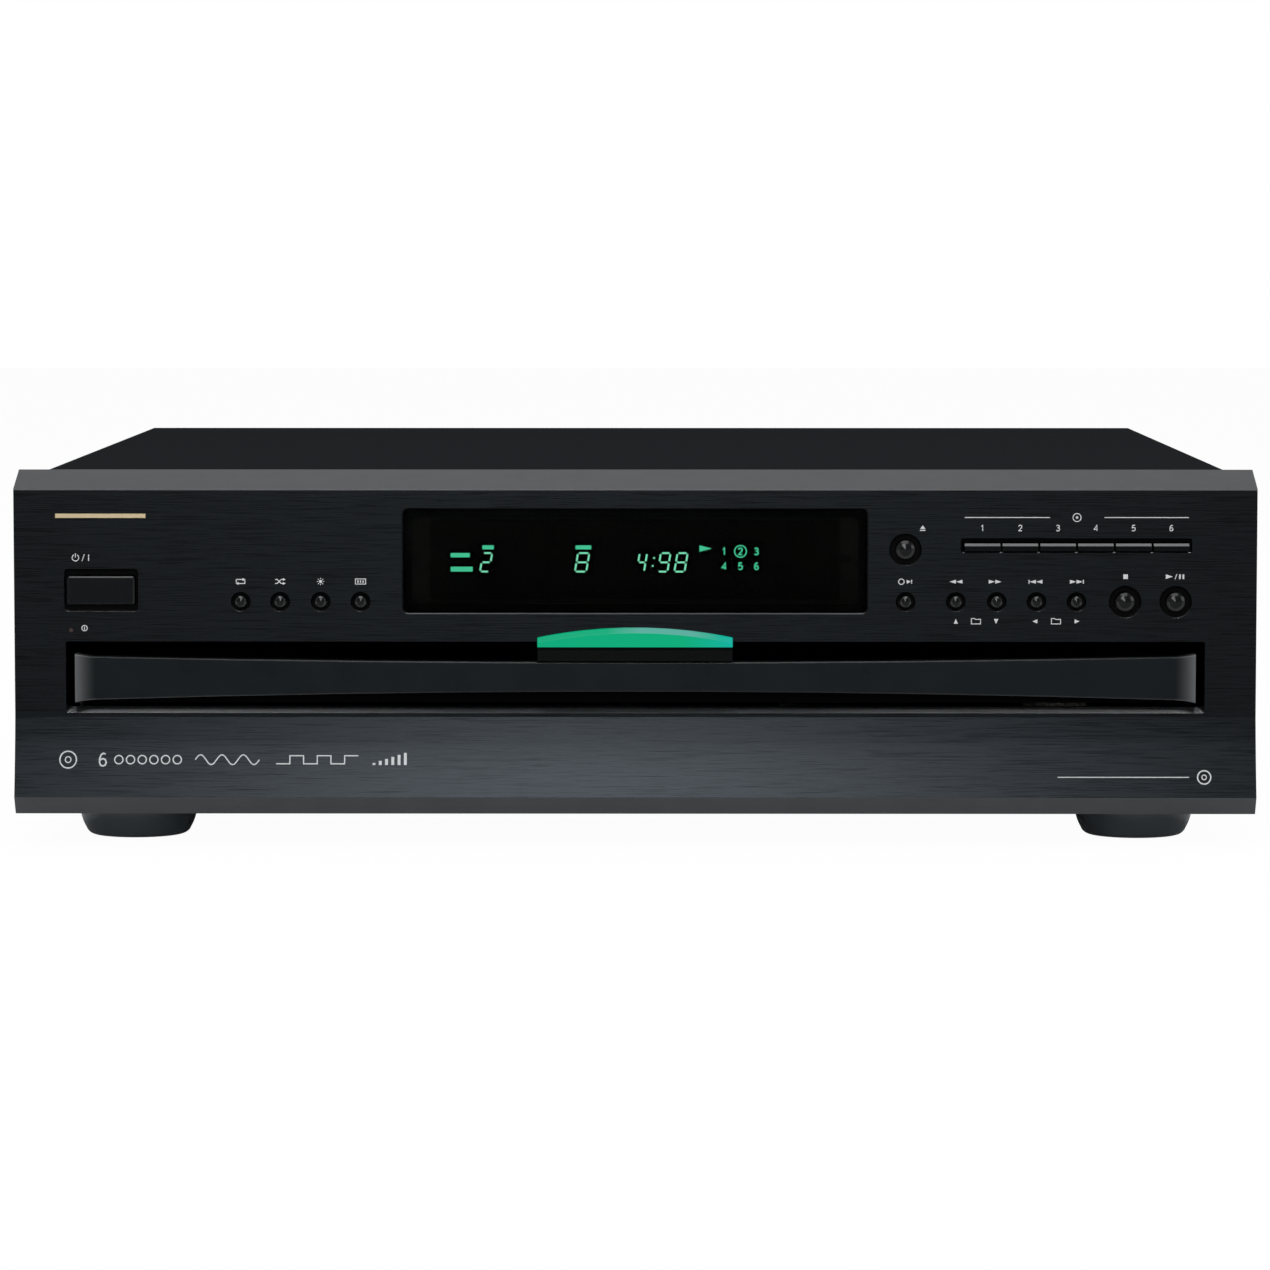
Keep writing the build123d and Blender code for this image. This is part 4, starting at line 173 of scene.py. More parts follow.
def numeral(flat, figure, x, z, height, width):
    """Plain numeral about its middle, drawn with a line of this width."""
    unit = height / 100
    stroke(flat, [(x + (a - 31) * unit, z + (b - 50) * unit) for a, b in NUMERALS[figure]], width)


# The two ends of each segment of a seven-segment figure: 0 left or 1 right, and 0 low to 2 high
SEGMENTS = {
    "top": ((0, 2), (1, 2)), "middle": ((0, 1), (1, 1)), "bottom": ((0, 0), (1, 0)),
    "left_top": ((0, 1), (0, 2)), "left_low": ((0, 0), (0, 1)),
    "right_top": ((1, 1), (1, 2)), "right_low": ((1, 0), (1, 1)),
}
FIGURES = {
    "2": ("top", "right_top", "middle", "left_low", "bottom"),
    "4": ("left_top", "middle", "right_top", "right_low"),
    "8": tuple(SEGMENTS),
    "9": ("top", "left_top", "right_top", "middle", "right_low", "bottom"),
}
SEGMENT_GAP = 0.62


def figure(flat, name, x0, x1, z0, z1, width, slant):
    """Seven-segment figure inside a box, leaning to the right, with gaps between segments."""
    lean = slant * (z1 - z0)
    span, rise = x1 - x0 - lean - width, (z1 - z0 - width) / 2

    def place(corner):
        height = corner[1] * rise + width / 2
        return Vector((x0 + width / 2 + corner[0] * span + slant * height, z0 + height))

    for segment in FIGURES[name]:
        start, end = (place(corner) for corner in SEGMENTS[segment])
        gap = (end - start).normalized() * width * SEGMENT_GAP
        stroke(flat, [tuple(start + gap), tuple(end - gap)], width)


def film(name, flat, body, finish, surface_at, strips_from=None):
    """Turn a flat drawing into a thin closed film on a surface, as one piece."""
    if strips_from is not None:
        for step in range(STRIP_COUNT):
            bmesh.ops.bisect_plane(
                flat, geom=flat.verts[:] + flat.edges[:] + flat.faces[:],
                plane_co=(0, 0, strips_from + step * STRIP_HEIGHT), plane_no=(0, 0, 1))
    shape = bmesh.new()
    outer, inner = {}, {}
    for vertex in flat.verts:
        point, out = surface_at(vertex.co.x, vertex.co.z)
        outer[vertex] = shape.verts.new(point + out * INK_OUT)
        inner[vertex] = shape.verts.new(point - out * INK_IN)
    for face in flat.faces:
        shape.faces.new([outer[vertex] for vertex in face.verts])
        shape.faces.new([inner[vertex] for vertex in reversed(face.verts)])
    for edge in flat.edges:
        if edge.is_boundary:
            start, end = edge.verts
            shape.faces.new([outer[start], outer[end], inner[end], inner[start]])
    flat.free()
    piece(name, shape, body, finish)


plate_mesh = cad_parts["front_plate"].data
plate_surface = BVHTree.FromPolygons(
    [vertex.co for vertex in plate_mesh.vertices],
    [face.vertices for face in plate_mesh.polygons])
FORWARD = Vector((0, -1, 0))
BACKWARD = Vector((0, 1, 0))


def on_plate(x, z):
    """Point on the front plate at a place in the front view, and the way out of it."""
    return plate_surface.ray_cast(Vector((x, -1, z)), BACKWARD)[0], FORWARD


def on_tube(x, z):
    """Point on the display tube's face that the camera sees at a place on the front."""
    depth = (TUBE_FACE_Y - CAMERA.y) / (FACE_Y - CAMERA.y)
    return Vector((CAMERA.x + (x - CAMERA.x) * depth, TUBE_FACE_Y,
                   CAMERA.z + (z - CAMERA.z) * depth)), FORWARD


def on_panel(x, z):
    """Point on the outside of the rear panel, at a place as seen from behind."""
    return Vector((-x, PANEL_Y, z)), BACKWARD


def square_to(axis):
    """The axis at unit length, and two directions square to it."""
    axis = axis.normalized()
    across = axis.orthogonal().normalized()
    return axis, across, axis.cross(across)


def turned(shape, profile, axis_point, axis, parts=48):
    """Closed body of revolution: (radius, height) pairs that start and end on the axis or loop."""
    axis, across, upright = square_to(axis)
    rings = []
    for radius, height in profile:
        centre = axis_point + axis * height
        if radius == 0:
            rings.append([shape.verts.new(centre)])
            continue
        turns = [2 * math.pi * part / parts for part in range(parts)]
        rings.append([shape.verts.new(centre + (across * math.cos(turn) + upright * math.sin(turn))
                                      * radius) for turn in turns])
    pairs = list(zip(rings, rings[1:]))
    if profile[0][0]:
        pairs.append((rings[-1], rings[0]))
    for low, high in pairs:
        for part in range(parts):
            corners = [low[part % len(low)], low[(part + 1) % len(low)],
                       high[(part + 1) % len(high)], high[part % len(high)]]
            shape.faces.new(list(dict.fromkeys(corners)))


def block(shape, low, high):
    """Box between two corners."""
    made = bmesh.ops.create_cube(shape, size=1.0)["verts"]
    for vertex in made:
        for axis in range(3):
            share = vertex.co[axis] + 0.5
            vertex.co[axis] = low[axis] + (high[axis] - low[axis]) * share


# Screw head: its outline as shares of radius and height, and its recess as shares of the same
HEAD_PROFILE = ((1, 0), (1, 0.45), (0.93, 0.75), (0.78, 1))
RECESS_ARM = 0.55
RECESS_HALF = 0.13
RECESS_TAPER = 0.7
RECESS_FLOOR = 0.35


def screw(shape, place, axis, radius, height):
    """Pan-head screw with a cross recess. place is the middle of the seat."""
    axis, across, upright = square_to(axis)

    def at(a, b, rise):
        return shape.verts.new(place + across * a + upright * b + axis * rise)

    def wall(low, high):
        for part in range(len(low)):
            after = (part + 1) % len(low)
            shape.faces.new([low[part], low[after], high[after], high[part]])

    outline = circle(0, 0, 1)
    loops = [[at(a * size * radius, b * size * radius, rise * height) for a, b in outline]
             for size, rise in HEAD_PROFILE]
    shape.faces.new(loops[0][::-1])
    for low, high in zip(loops, loops[1:]):
        wall(low, high)
    arm, half = radius * RECESS_ARM, radius * RECESS_HALF
    cross = [(arm, -half), (arm, half), (half, half), (half, arm), (-half, arm), (-half, half),
             (-arm, half), (-arm, -half), (-half, -half), (-half, -arm), (half, -arm),
             (half, -half)]
    mouth = [at(a, b, height) for a, b in cross]
    floor_loop = [at(a * RECESS_TAPER, b * RECESS_TAPER, height * RECESS_FLOOR) for a, b in cross]
    rim = HEAD_PROFILE[-1][0]
    rim_points = [Vector((a * rim * radius, b * rim * radius, 0)) for a, b in outline]
    cross_points = [Vector((a, b, 0)) for a, b in cross]
    top = loops[-1] + mouth
    for triangle in tessellate_polygon([rim_points, cross_points]):
        shape.faces.new([top[index] for index in triangle])
    for triangle in tessellate_polygon([cross_points]):
        shape.faces.new([floor_loop[index] for index in triangle])
    wall(mouth, floor_loop)


# Materials

def node(material, kind, inputs=None, **settings):
    """Add one shader node. Inputs are values or the output sockets that feed them."""
    tree = material.node_tree
    made = tree.nodes.new(kind)
    for name, value in settings.items():
        setattr(made, name, value)
    for key, value in (inputs or {}).items():
        if isinstance(value, bpy.types.NodeSocket):
            tree.links.new(value, made.inputs[key])
        else:
            made.inputs[key].default_value = value
    return made


def link(material, socket, target):
    """Feed an input socket from an output socket."""
    material.node_tree.links.new(socket, target)


def surface(name, color, roughness, metallic=0.0, specular=0.5, **more):
    """Material with one Principled shader whose constant values are set on the shader."""
    material = bpy.data.materials.new(name)
    material.use_nodes = True
    shader = material.node_tree.nodes["Principled BSDF"]
    values = {"Roughness": roughness, "Metallic": metallic, "Specular IOR Level": specular}
    values.update({key.replace("_", " "): value for key, value in more.items()})
    for key, value in values.items():
        shader.inputs[key].default_value = value
    shader.inputs["Base Color"].default_value = (*color, 1)
    return material


def shader_of(material):
    """The material's Principled shader."""
    return material.node_tree.nodes["Principled BSDF"]


def feed(material, socket, name):
    """Feed one input of the material's shader from an output socket."""
    link(material, socket, shader_of(material).inputs[name])


def own_place(material):
    """The surface's place in the object's own coordinates."""
    return node(material, "ShaderNodeTexCoord").outputs["Object"]


def noise(material, size, detail=3.0, stretch=(1, 1, 1)):
    """Noise over the object's own coordinates, with features of about this size."""
    stretched = node(material, "ShaderNodeMapping",
                     {"Vector": own_place(material), "Scale": stretch})
    field = node(material, "ShaderNodeTexNoise",
                 {"Vector": stretched.outputs["Vector"], "Scale": 1 / size, "Detail": detail})
    return field.outputs["Fac"]


def spread(material, value, low, high, start=0.3, end=0.7):
    """Map a value between start and end to a range."""
    mapped = node(material, "ShaderNodeMapRange",
                  {"Value": value, "From Min": start, "From Max": end,
                   "To Min": low, "To Max": high})
    return mapped.outputs["Result"]


def maths(material, operation, first, second=0.0):
    """One step of arithmetic on values or sockets."""
    return node(material, "ShaderNodeMath", {0: first, 1: second}, operation=operation).outputs[0]


def magnitude(material, value):
    """A value without its sign."""
    return maths(material, "ABSOLUTE", value)


def component(material, vector, axis):
    """One component of a vector: X, Y or Z."""
    return node(material, "ShaderNodeSeparateXYZ", {"Vector": vector}).outputs[axis]


def color_ramp(material, value, *stops):
    """Colours at their positions along a value, as (position, colour) pairs in order."""
    ramp = node(material, "ShaderNodeValToRGB", {"Fac": value})
    elements = ramp.color_ramp.elements
    for end, (position, color) in zip(elements, (stops[0], stops[-1])):
        end.position = position
        end.color = (*color, 1)
    for position, color in stops[1:-1]:
        elements.new(position).color = (*color, 1)
    return ramp.outputs["Color"]


def two_tone(material, value, dark, light, start=0.3, end=0.7):
    """Colour that goes from dark to light with a value."""
    feed(material, color_ramp(material, value, (start, dark), (end, light)), "Base Color")


def multiplied(color, factor):
    """A colour with its channels multiplied, none over 1."""
    return tuple(min(1.0, value * factor) for value in color)


def rounded(material, radius):
    """Soften the edges' shading by a radius."""
    return node(material, "ShaderNodeBevel", {"Radius": radius}, samples=4).outputs["Normal"]


def relief(material, height, depth, normal=None):
    """Bump from a height value, with its depth in metres."""
    inputs = {"Height": height, "Distance": depth}
    if normal:
        inputs["Normal"] = normal
    bump = node(material, "ShaderNodeBump", inputs)
    feed(material, bump.outputs["Normal"], "Normal")


def glossy_edges(material, radius, face, edge):
    """Gloss that rises from the faces towards the front to the edges that turn away."""
    facing_front = magnitude(material, component(material, rounded(material, radius), "Y"))
    feed(material, spread(material, facing_front, edge, face, 0.80, 0.975), "Specular IOR Level")
    return material


def uneven_gloss(material, value, roughness, least):
    """Roughness that varies with a value, from its least share up to 1.15 of its mean."""
    feed(material, spread(material, value, roughness * least, min(1.0, roughness * 1.15)),
         "Roughness")


def moulded(name, color, roughness, specular=0.5, texture=0.35 * MM, depth=0.006 * MM,
            edge=0.25 * MM):
    """Moulded plastic: fine eroded texture, slight cloudiness in gloss and colour."""
    material = surface(name, color, roughness, specular=specular)
    cloud = noise(material, 14 * MM)
    two_tone(material, cloud, color, multiplied(color, 1.22))
    uneven_gloss(material, cloud, roughness, 0.88)
    relief(material, noise(material, texture, 4), depth, rounded(material, edge))
    return material


def painted(name, color, roughness, specular=0.5, edge=0.3 * MM):
    """Powder-painted sheet: orange-peel relief with a fine speckle."""
    material = surface(name, color, roughness, specular=specular)
    speckle = noise(material, 0.6 * MM, 4)
    two_tone(material, speckle, color, multiplied(color, 1.5))
    relief(material, noise(material, 0.9 * MM, 3), 0.012 * MM, rounded(material, edge))
    return material


def metal(name, color, roughness, brushed=(1, 1, 1), edge=0.2 * MM):
    """Bare metal with faint scratches along one direction."""
    material = surface(name, color, roughness, metallic=1.0)
    streaks = noise(material, 0.8 * MM, 4, brushed)
    two_tone(material, streaks, multiplied(color, 0.90), color)
    uneven_gloss(material, streaks, roughness, 0.9)
    relief(material, streaks, 0.0002 * MM, rounded(material, edge))
    return material


def brushed_black():
    """Black anodised plate with fine hairlines that run across it and spread the light upwards."""
    material = surface("brushed_black", (0.008, 0.009, 0.010), 0.27, metallic=1.0,
                       Anisotropic=0.15, Anisotropic_Rotation=0.25)
    around = node(material, "ShaderNodeTangent", direction_type="RADIAL", axis="Z")
    feed(material, around.outputs["Tangent"], "Tangent")
    fine = noise(material, 0.22 * MM, 2, (0.02, 1, 1))
    broad = noise(material, 0.5 * MM, 2, (0.02, 1, 1))
    both = maths(material, "ADD", fine, broad)
    two_tone(material, both, (0.0042, 0.0048, 0.0055), (0.0078, 0.0090, 0.0102), 0.72, 1.32)
    feed(material, spread(material, both, 0.25, 0.30, 0.75, 1.25), "Roughness")
    relief(material, both, 0.003 * MM, rounded(material, 0.15 * MM))
    return material


def painted_edge_highlight(material, light):
    """Painted highlight on the plate's edges that face up, more so towards its ends: a lighter
    metal colour mixed in there.
    """
    facing_way = node(material, "ShaderNodeNewGeometry").outputs["True Normal"]
    up = component(material, facing_way, "Z")
    from_middle = magnitude(material, component(material, own_place(material), "X"))
    outward = spread(material, from_middle, 0.25, 1, 60 * MM, 190 * MM)
    share = maths(material, "MULTIPLY", spread(material, up, 0, 1, 0.25, 0.5), outward)
    blend_colors(material, share, light)
    return material


def blend_colors(material, share, color):
    """Mix a colour into the material's colour by a share."""
    base = shader_of(material).inputs["Base Color"]
    before = base.links[0].from_socket
    both = node(material, "ShaderNodeMixRGB",
                {"Fac": share, "Color1": before, "Color2": (*color, 1)})
    link(material, both.outputs["Color"], base)


def frame_satin():
    """Satin plastic of the surround, with painted shade behind the front plate: near black and
    almost without gloss where the recesses show the frame.
    """
    material = moulded("frame_satin", (0.022, 0.024, 0.027), 0.40, texture=0.25 * MM,
                       depth=0.003 * MM)
    # Where the frame lies behind the front plate it gets painted shade: near black colour and
    # little gloss.
    inside = 1.0
    for axis, low, high in (("X", plate_low.x, plate_high.x), ("Z", plate_low.z, plate_high.z)):
        place = component(material, own_place(material), axis)
        offset = maths(material, "SUBTRACT", place, (low + high) / 2)
        near = maths(material, "LESS_THAN", magnitude(material, offset),
                     (high - low) / 2 - 1.5 * MM)
        inside = maths(material, "MULTIPLY", near, inside)
    blend_colors(material, inside, (0.001, 0.001, 0.001))
    feed(material, spread(material, inside, 0.36, 0.02, 0, 1), "Specular IOR Level")
    return material


def drawer_bar():
    """Satin bar of the drawer: painted highlights make it lighter where its ends turn outwards,
    glossy along its edges.
    """
    material = moulded("bar_satin", (0.0022, 0.0036, 0.0046), 0.30, texture=0.2 * MM,
                       depth=0.002 * MM)
    across = component(material, own_place(material), "X")
    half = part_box("drawer_front")[1].x
    # Painted highlight: the colour grows lighter over the last 7 mm of each end.
    share = spread(material, magnitude(material, across), 0, 1, half - 7 * MM, half)
    blend_colors(material, maths(material, "POWER", share, 1.6), (0.070, 0.073, 0.076))
    return glossy_edges(material, 0.4 * MM, 0.07, 0.6)


def drawer_tray():
    """Satin plastic of the tray, with painted shade on the front wall under the bar: near black
    and almost without gloss there.
    """
    material = moulded("tray_satin", (0.010, 0.010, 0.011), 0.45)
    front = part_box("drawer_tray")[0].y + 3.5 * MM
    # The front wall under the bar gets painted shade.
    wall = maths(material, "LESS_THAN", component(material, own_place(material), "Y"), front)
    blend_colors(material, wall, (0.0005, 0.0005, 0.0005))
    feed(material, spread(material, wall, 0.25, 0.01, 0, 1), "Specular IOR Level")
    return material


def smoked_glass():
    """Dark clear pane."""
    material = surface("smoked_glass", (0.20, 0.19, 0.19), 0.0, IOR=1.05, Transmission_Weight=1.0)
    two_tone(material, noise(material, 60 * MM, 1), (0.19, 0.18, 0.18), (0.21, 0.20, 0.20))
    return material


def light_guide():
    """Green light guide, lit from behind: bluer at its right end, with a painted highlight of pale
    mint along its crown in the glow.
    """
    material = surface("light_guide", (0.0, 0.02, 0.01), 0.2, specular=0.06)
    across = component(material, own_place(material), "X")
    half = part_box("tray_light_lens")[1].x
    green = color_ramp(material, spread(material, across, 0, 1, -half, half),
                       (0.0, (0.001, 0.37, 0.18)), (0.75, (0.0, 0.385, 0.175)),
                       (1.0, (0.003, 0.41, 0.33)))
    facing_way = node(material, "ShaderNodeNewGeometry").outputs["Normal"]
    # Painted highlight: faces of the crown that turn upwards, from the middle to the right, glow
    # pale mint.
    crown = spread(material, component(material, facing_way, "Z"), 0, 1, 0.25, 0.45)
    from_left = spread(material, across, 0, 1, -10 * MM, 2 * MM)
    to_right = spread(material, across, 1, 0, 20 * MM, 30 * MM)
    crown_highlight = maths(material, "MULTIPLY", crown, maths(material, "MULTIPLY", from_left, to_right))
    mixed = node(material, "ShaderNodeMixRGB",
                 {"Fac": crown_highlight, "Color1": green, "Color2": (0.10, 0.38, 0.32, 1)})
    feed(material, mixed.outputs[0], "Emission Color")
    shader_of(material).inputs["Emission Strength"].default_value = 1.0
    relief(material, noise(material, 2 * MM, 2), 0.01 * MM, rounded(material, 0.3 * MM))
    return material


def lit_segment(name, dim, bright, strength):
    """Phosphor of the display's lit segments, slightly grainy."""
    material = surface(name, (0.01, 0.03, 0.02), 0.6, specular=0.05)
    grain = noise(material, 0.3 * MM, 2)
    feed(material, color_ramp(material, grain, (0.35, dim), (0.7, bright)), "Emission Color")
    shader_of(material).inputs["Emission Strength"].default_value = strength
    return material


def printed_ink(name, color, metallic=0.0, roughness=0.55):
    """Screen-printed ink, slightly uneven."""
    material = surface(name, color, roughness, metallic=metallic, specular=0.3)
    two_tone(material, noise(material, 0.4 * MM, 3), multiplied(color, 0.75), color)
    return material


def circuit_board(name, dark, light):
    """Green solder mask with lighter copper tracks under it."""
    material = surface(name, dark, 0.4)
    two_tone(material, noise(material, 3 * MM, 1), dark, light, 0.48, 0.52)
    return material


def tinted_glass(name, color):
    """Dark glass of the display tube, with a faint cloud of its getter."""
    material = surface(name, color, 0.12, specular=0.05)
    two_tone(material, noise(material, 20 * MM, 2), color, multiplied(color, 1.4))
    return material


def lamp_lens(name, color):
    """Small red light pipe, not lit."""
    material = surface(name, color, 0.3, specular=0.3)
    two_tone(material, noise(material, 1 * MM, 2), color, multiplied(color, 1.3))
    return material


tray_black = moulded("tray_black", (0.010, 0.010, 0.011), 0.45, specular=0.25)
socket_black = moulded("socket_black", (0.016, 0.016, 0.017), 0.38, specular=0.4)
motor_steel = metal("motor_steel", (0.45, 0.45, 0.47), 0.35)
gear_white = moulded("gear_white", (0.62, 0.61, 0.58), 0.45)
screw_steel = metal("screw_black", (0.035, 0.035, 0.038), 0.35)
# The feet's bluish grey colour is partly their own black plastic and partly a painted sheen,
# lighter than the plastic alone.
foot_gloss = moulded("foot_gloss", (0.040, 0.050, 0.058), 0.22, texture=6 * MM, depth=0.01 * MM)
key_satin = moulded("key_satin", (0.002, 0.0023, 0.0026), 0.20, texture=0.2 * MM,
                    depth=0.001 * MM, edge=0.1 * MM)
glossy_edges(key_satin, 0.1 * MM, 0.03, 0.42)
button_satin = moulded("button_satin", (0.003, 0.0033, 0.0036), 0.14, texture=0.2 * MM,
                       depth=0.001 * MM, edge=0.1 * MM)
glossy_edges(button_satin, 0.1 * MM, 0.10, 0.45)
power_satin = moulded("power_satin", (0.003, 0.0035, 0.004), 0.24, texture=0.2 * MM,
                      depth=0.001 * MM, edge=0.1 * MM)
glossy_edges(power_satin, 0.1 * MM, 0.04, 0.28)
white_ink = printed_ink("white_ink", (0.44, 0.45, 0.46))
rear_ink = printed_ink("rear_ink", (0.45, 0.45, 0.45))
gold_ink = printed_ink("gold_ink", (0.38, 0.31, 0.19), 0.6, 0.4)
raised_mark = printed_ink("raised_mark", (0.10, 0.10, 0.11))
segment_bright = lit_segment("segment_bright", (0.08, 0.36, 0.21), (0.16, 0.55, 0.36), 8.0)
segment_bar = lit_segment("segment_bar", (0.02, 0.28, 0.14), (0.05, 0.40, 0.22), 8.0)

FINISHES = {
    # The front plate has a painted highlight on its edges that face up.
    "front_plate": painted_edge_highlight(brushed_black(), (0.10, 0.102, 0.105)),
    "front_frame": frame_satin(),
    "display_window": smoked_glass(),
    "display_tube": tinted_glass("tube_glass", (0.002, 0.002, 0.002)),
    "front_board": circuit_board("front_circuit", (0.002, 0.012, 0.006), (0.004, 0.022, 0.010)),
    "tact_switches": socket_black,
    "tray_light_lens": light_guide(),
    "lens_holder": moulded("holder_grey", (0.0012, 0.0014, 0.0014), 0.45, specular=0.03),
    "standby_lamp": lamp_lens("lamp_red", (0.012, 0.003, 0.003)),
    "drawer_front": drawer_bar(),
    "drawer_tray": drawer_tray(),
    "carousel": moulded("carousel_black", (0.009, 0.009, 0.010), 0.42, specular=0.15),
    "top_cover": painted("cover_paint", (0.0054, 0.0060, 0.0074), 0.60, specular=0.003),
    "rear_panel": painted("rear_paint", (0.012, 0.012, 0.013), 0.62, specular=0.2),
    "chassis_base": metal("zinc_sheet", (0.42, 0.43, 0.44), 0.45, (1, 0.05, 1)),
    "drawer_rails": metal("rail_black", (0.030, 0.030, 0.032), 0.40, (1, 0.05, 1)),
    "clamp_bridge": metal("bridge_zinc", (0.50, 0.51, 0.52), 0.38, (0.05, 1, 1)),
    "transformer": metal("core_steel", (0.20, 0.20, 0.21), 0.55),
    "front_feet": foot_gloss,
    "rear_feet": foot_gloss,
    "button_power": power_satin,
    "carousel_axle": metal("axle_steel", (0.60, 0.60, 0.62), 0.25),
    "carousel_motor": motor_steel,
    "drawer_motor": motor_steel,
    "spindle_motor": motor_steel,
    "cover_screws": screw_steel,
    "carousel_gear": gear_white,
    "drawer_pinion": gear_white,
    "cam_slider": gear_white,
    "clamp_puck": gear_white,
    "motor_pulley": metal("pulley_brass", (0.55, 0.42, 0.20), 0.3),
    "drawer_belt": moulded("belt_rubber", (0.012, 0.012, 0.012), 0.7, specular=0.3),
    "audio_jacks": metal("jack_plate", (0.62, 0.60, 0.56), 0.25),
    "optical_jack": socket_black,
    "remote_jacks": socket_black,
    "power_inlet": socket_black,
    "platter": moulded("platter_black", (0.015, 0.015, 0.016), 0.35),
    "pickup": metal("pickup_metal", (0.35, 0.35, 0.36), 0.4),
    "main_board": circuit_board("main_circuit", (0.008, 0.05, 0.025), (0.02, 0.11, 0.05)),
    "drive_bracket": tray_black,
    "lift_base": tray_black,
    "lift_frame": tray_black,
}


def finish_of(name):
    """Material of a CAD node: its own or its group's."""
    if name in FINISHES:
        return FINISHES[name]
    return key_satin if name.startswith("key_disc_") else button_satin


for name, cad_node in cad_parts.items():
    for material_slot in cad_node.material_slots:
        material_slot.material = finish_of(name)


# Printed marks on the front, in millimetres of the front view

RIGHT, UP, LEFT, DOWN = range(4)
DISCS = 6


def scaled(flat):
    """Turn a drawing in millimetres into metres."""
    bmesh.ops.scale(flat, vec=(MM, MM, MM), verts=flat.verts[:])
    return flat


def box_from(flat, x0, x1, z0, z1):
    """Filled rectangle between its sides."""
    box_at(flat, (x0 + x1) / 2, (z0 + z1) / 2, x1 - x0, z1 - z0)


# Heading over the disc keys and their numbers, and the open and close symbol
marks = bmesh.new()
HEADING_X, HEADING_Z = 154.5, 116.1
for x0, x1 in ((115.2, 145.0), (164.1, 193.6)):
    box_at(marks, (x0 + x1) / 2, HEADING_Z, x1 - x0, 0.28)
ring(marks, HEADING_X, HEADING_Z, 1.4, 0.28)
ring(marks, HEADING_X, HEADING_Z, 0.3, 0.3)
KEY_X, KEY_PITCH = 108.3, 13.2
for disc in range(1, DISCS + 1):
    numeral(marks, disc, KEY_X + KEY_PITCH * disc, 112.4, 2.0, 0.3)
OPEN_X = 100.6
arrow(marks, OPEN_X, 112.7, 1.2, 1.9, UP)
box_at(marks, OPEN_X, 111.6, 1.9, 0.35)

# Row over the small buttons on the right: disc skip, search and track
ROW_Z = 93.6
ring(marks, 93.2, ROW_Z, 0.95, 0.3)
arrow(marks, 95.8, ROW_Z, 1.5, 1.4, RIGHT)
box_at(marks, 96.8, ROW_Z, 0.3, 1.4)
ARROW_L, ARROW_H, ARROW_SHIFT, STOP_SHIFT = 2.2, 1.35, 1.15, 2.45
for x, way, has_stop in ((112.3, LEFT, False), (126.0, RIGHT, False),
                         (140.3, LEFT, True), (154.4, RIGHT, True)):
    for shift in (-ARROW_SHIFT, ARROW_SHIFT):
        arrow(marks, x + shift, ROW_Z, ARROW_L, ARROW_H, way)
    if has_stop:
        box_at(marks, x + (STOP_SHIFT if way == RIGHT else -STOP_SHIFT), ROW_Z, 0.35, ARROW_H)

# Stop, play and pause
PLAY_Z = 95.4
box_at(marks, 171.6, PLAY_Z, 1.6, 1.6)
arrow(marks, 186.9, PLAY_Z, 2.5, 1.6, RIGHT)
box_at(marks, 189.2, PLAY_Z, 0.25, 1.9, 0.35)
for x in (190.6, 191.8):
    box_at(marks, x, PLAY_Z, 0.6, 1.6)

# Folder row under the small buttons: an outline between two arrows
FOLDER_Z = 79.7
for left, right, ways in ((112.3, 126.4, (UP, DOWN)), (140.0, 154.7, (LEFT, RIGHT))):
    arrow(marks, left, FOLDER_Z, 1.7, 1.5, ways[0])
    arrow(marks, right, FOLDER_Z, 1.7, 1.5, ways[1])
    middle = (left + right) / 2
    stroke(marks, [(middle - 1.6, 78.8), (middle - 1.6, 80.7), (middle - 0.5, 80.7),
                   (middle - 0.2, 80.4), (middle + 1.6, 80.4), (middle + 1.6, 78.8)], 0.28,
           closed=True)

# Row over the small buttons on the left: repeat, random, dimmer and display
stroke(marks, [(-139.6, 93.2), (-139.6, 94.3), (-137.4, 94.3)], 0.3)
arrow(marks, -136.9, 94.3, 1.1, 1.0, RIGHT)
stroke(marks, [(-136.6, 94.0), (-136.6, 92.9), (-138.8, 92.9)], 0.3)
arrow(marks, -139.3, 92.9, 1.1, 1.0, LEFT)
for z_end in (-0.7, 0.7):
    stroke(marks, [(-126.0, ROW_Z - z_end), (-125.3, ROW_Z - z_end), (-123.9, ROW_Z + z_end),
                   (-123.3, ROW_Z + z_end)], 0.3)
    arrow(marks, -122.8, ROW_Z + z_end, 1.0, 1.0, RIGHT)
DIMMER_X = -110.1
polygon(marks, circle(DIMMER_X, ROW_Z, 0.55, 24))
for part in range(8):
    turn = math.pi / 4 * part
    near, far = ((DIMMER_X + math.cos(turn) * reach, ROW_Z + math.sin(turn) * reach)
                 for reach in (0.85, 1.25))
    stroke(marks, [near, far], 0.24)
stroke(marks, [(-97.9, 92.7), (-97.9, 94.5), (-94.3, 94.5), (-94.3, 92.7)], 0.28, closed=True)
for x in (-97.0, -96.1, -95.2):
    box_at(marks, x, ROW_Z, 0.45, 0.8)

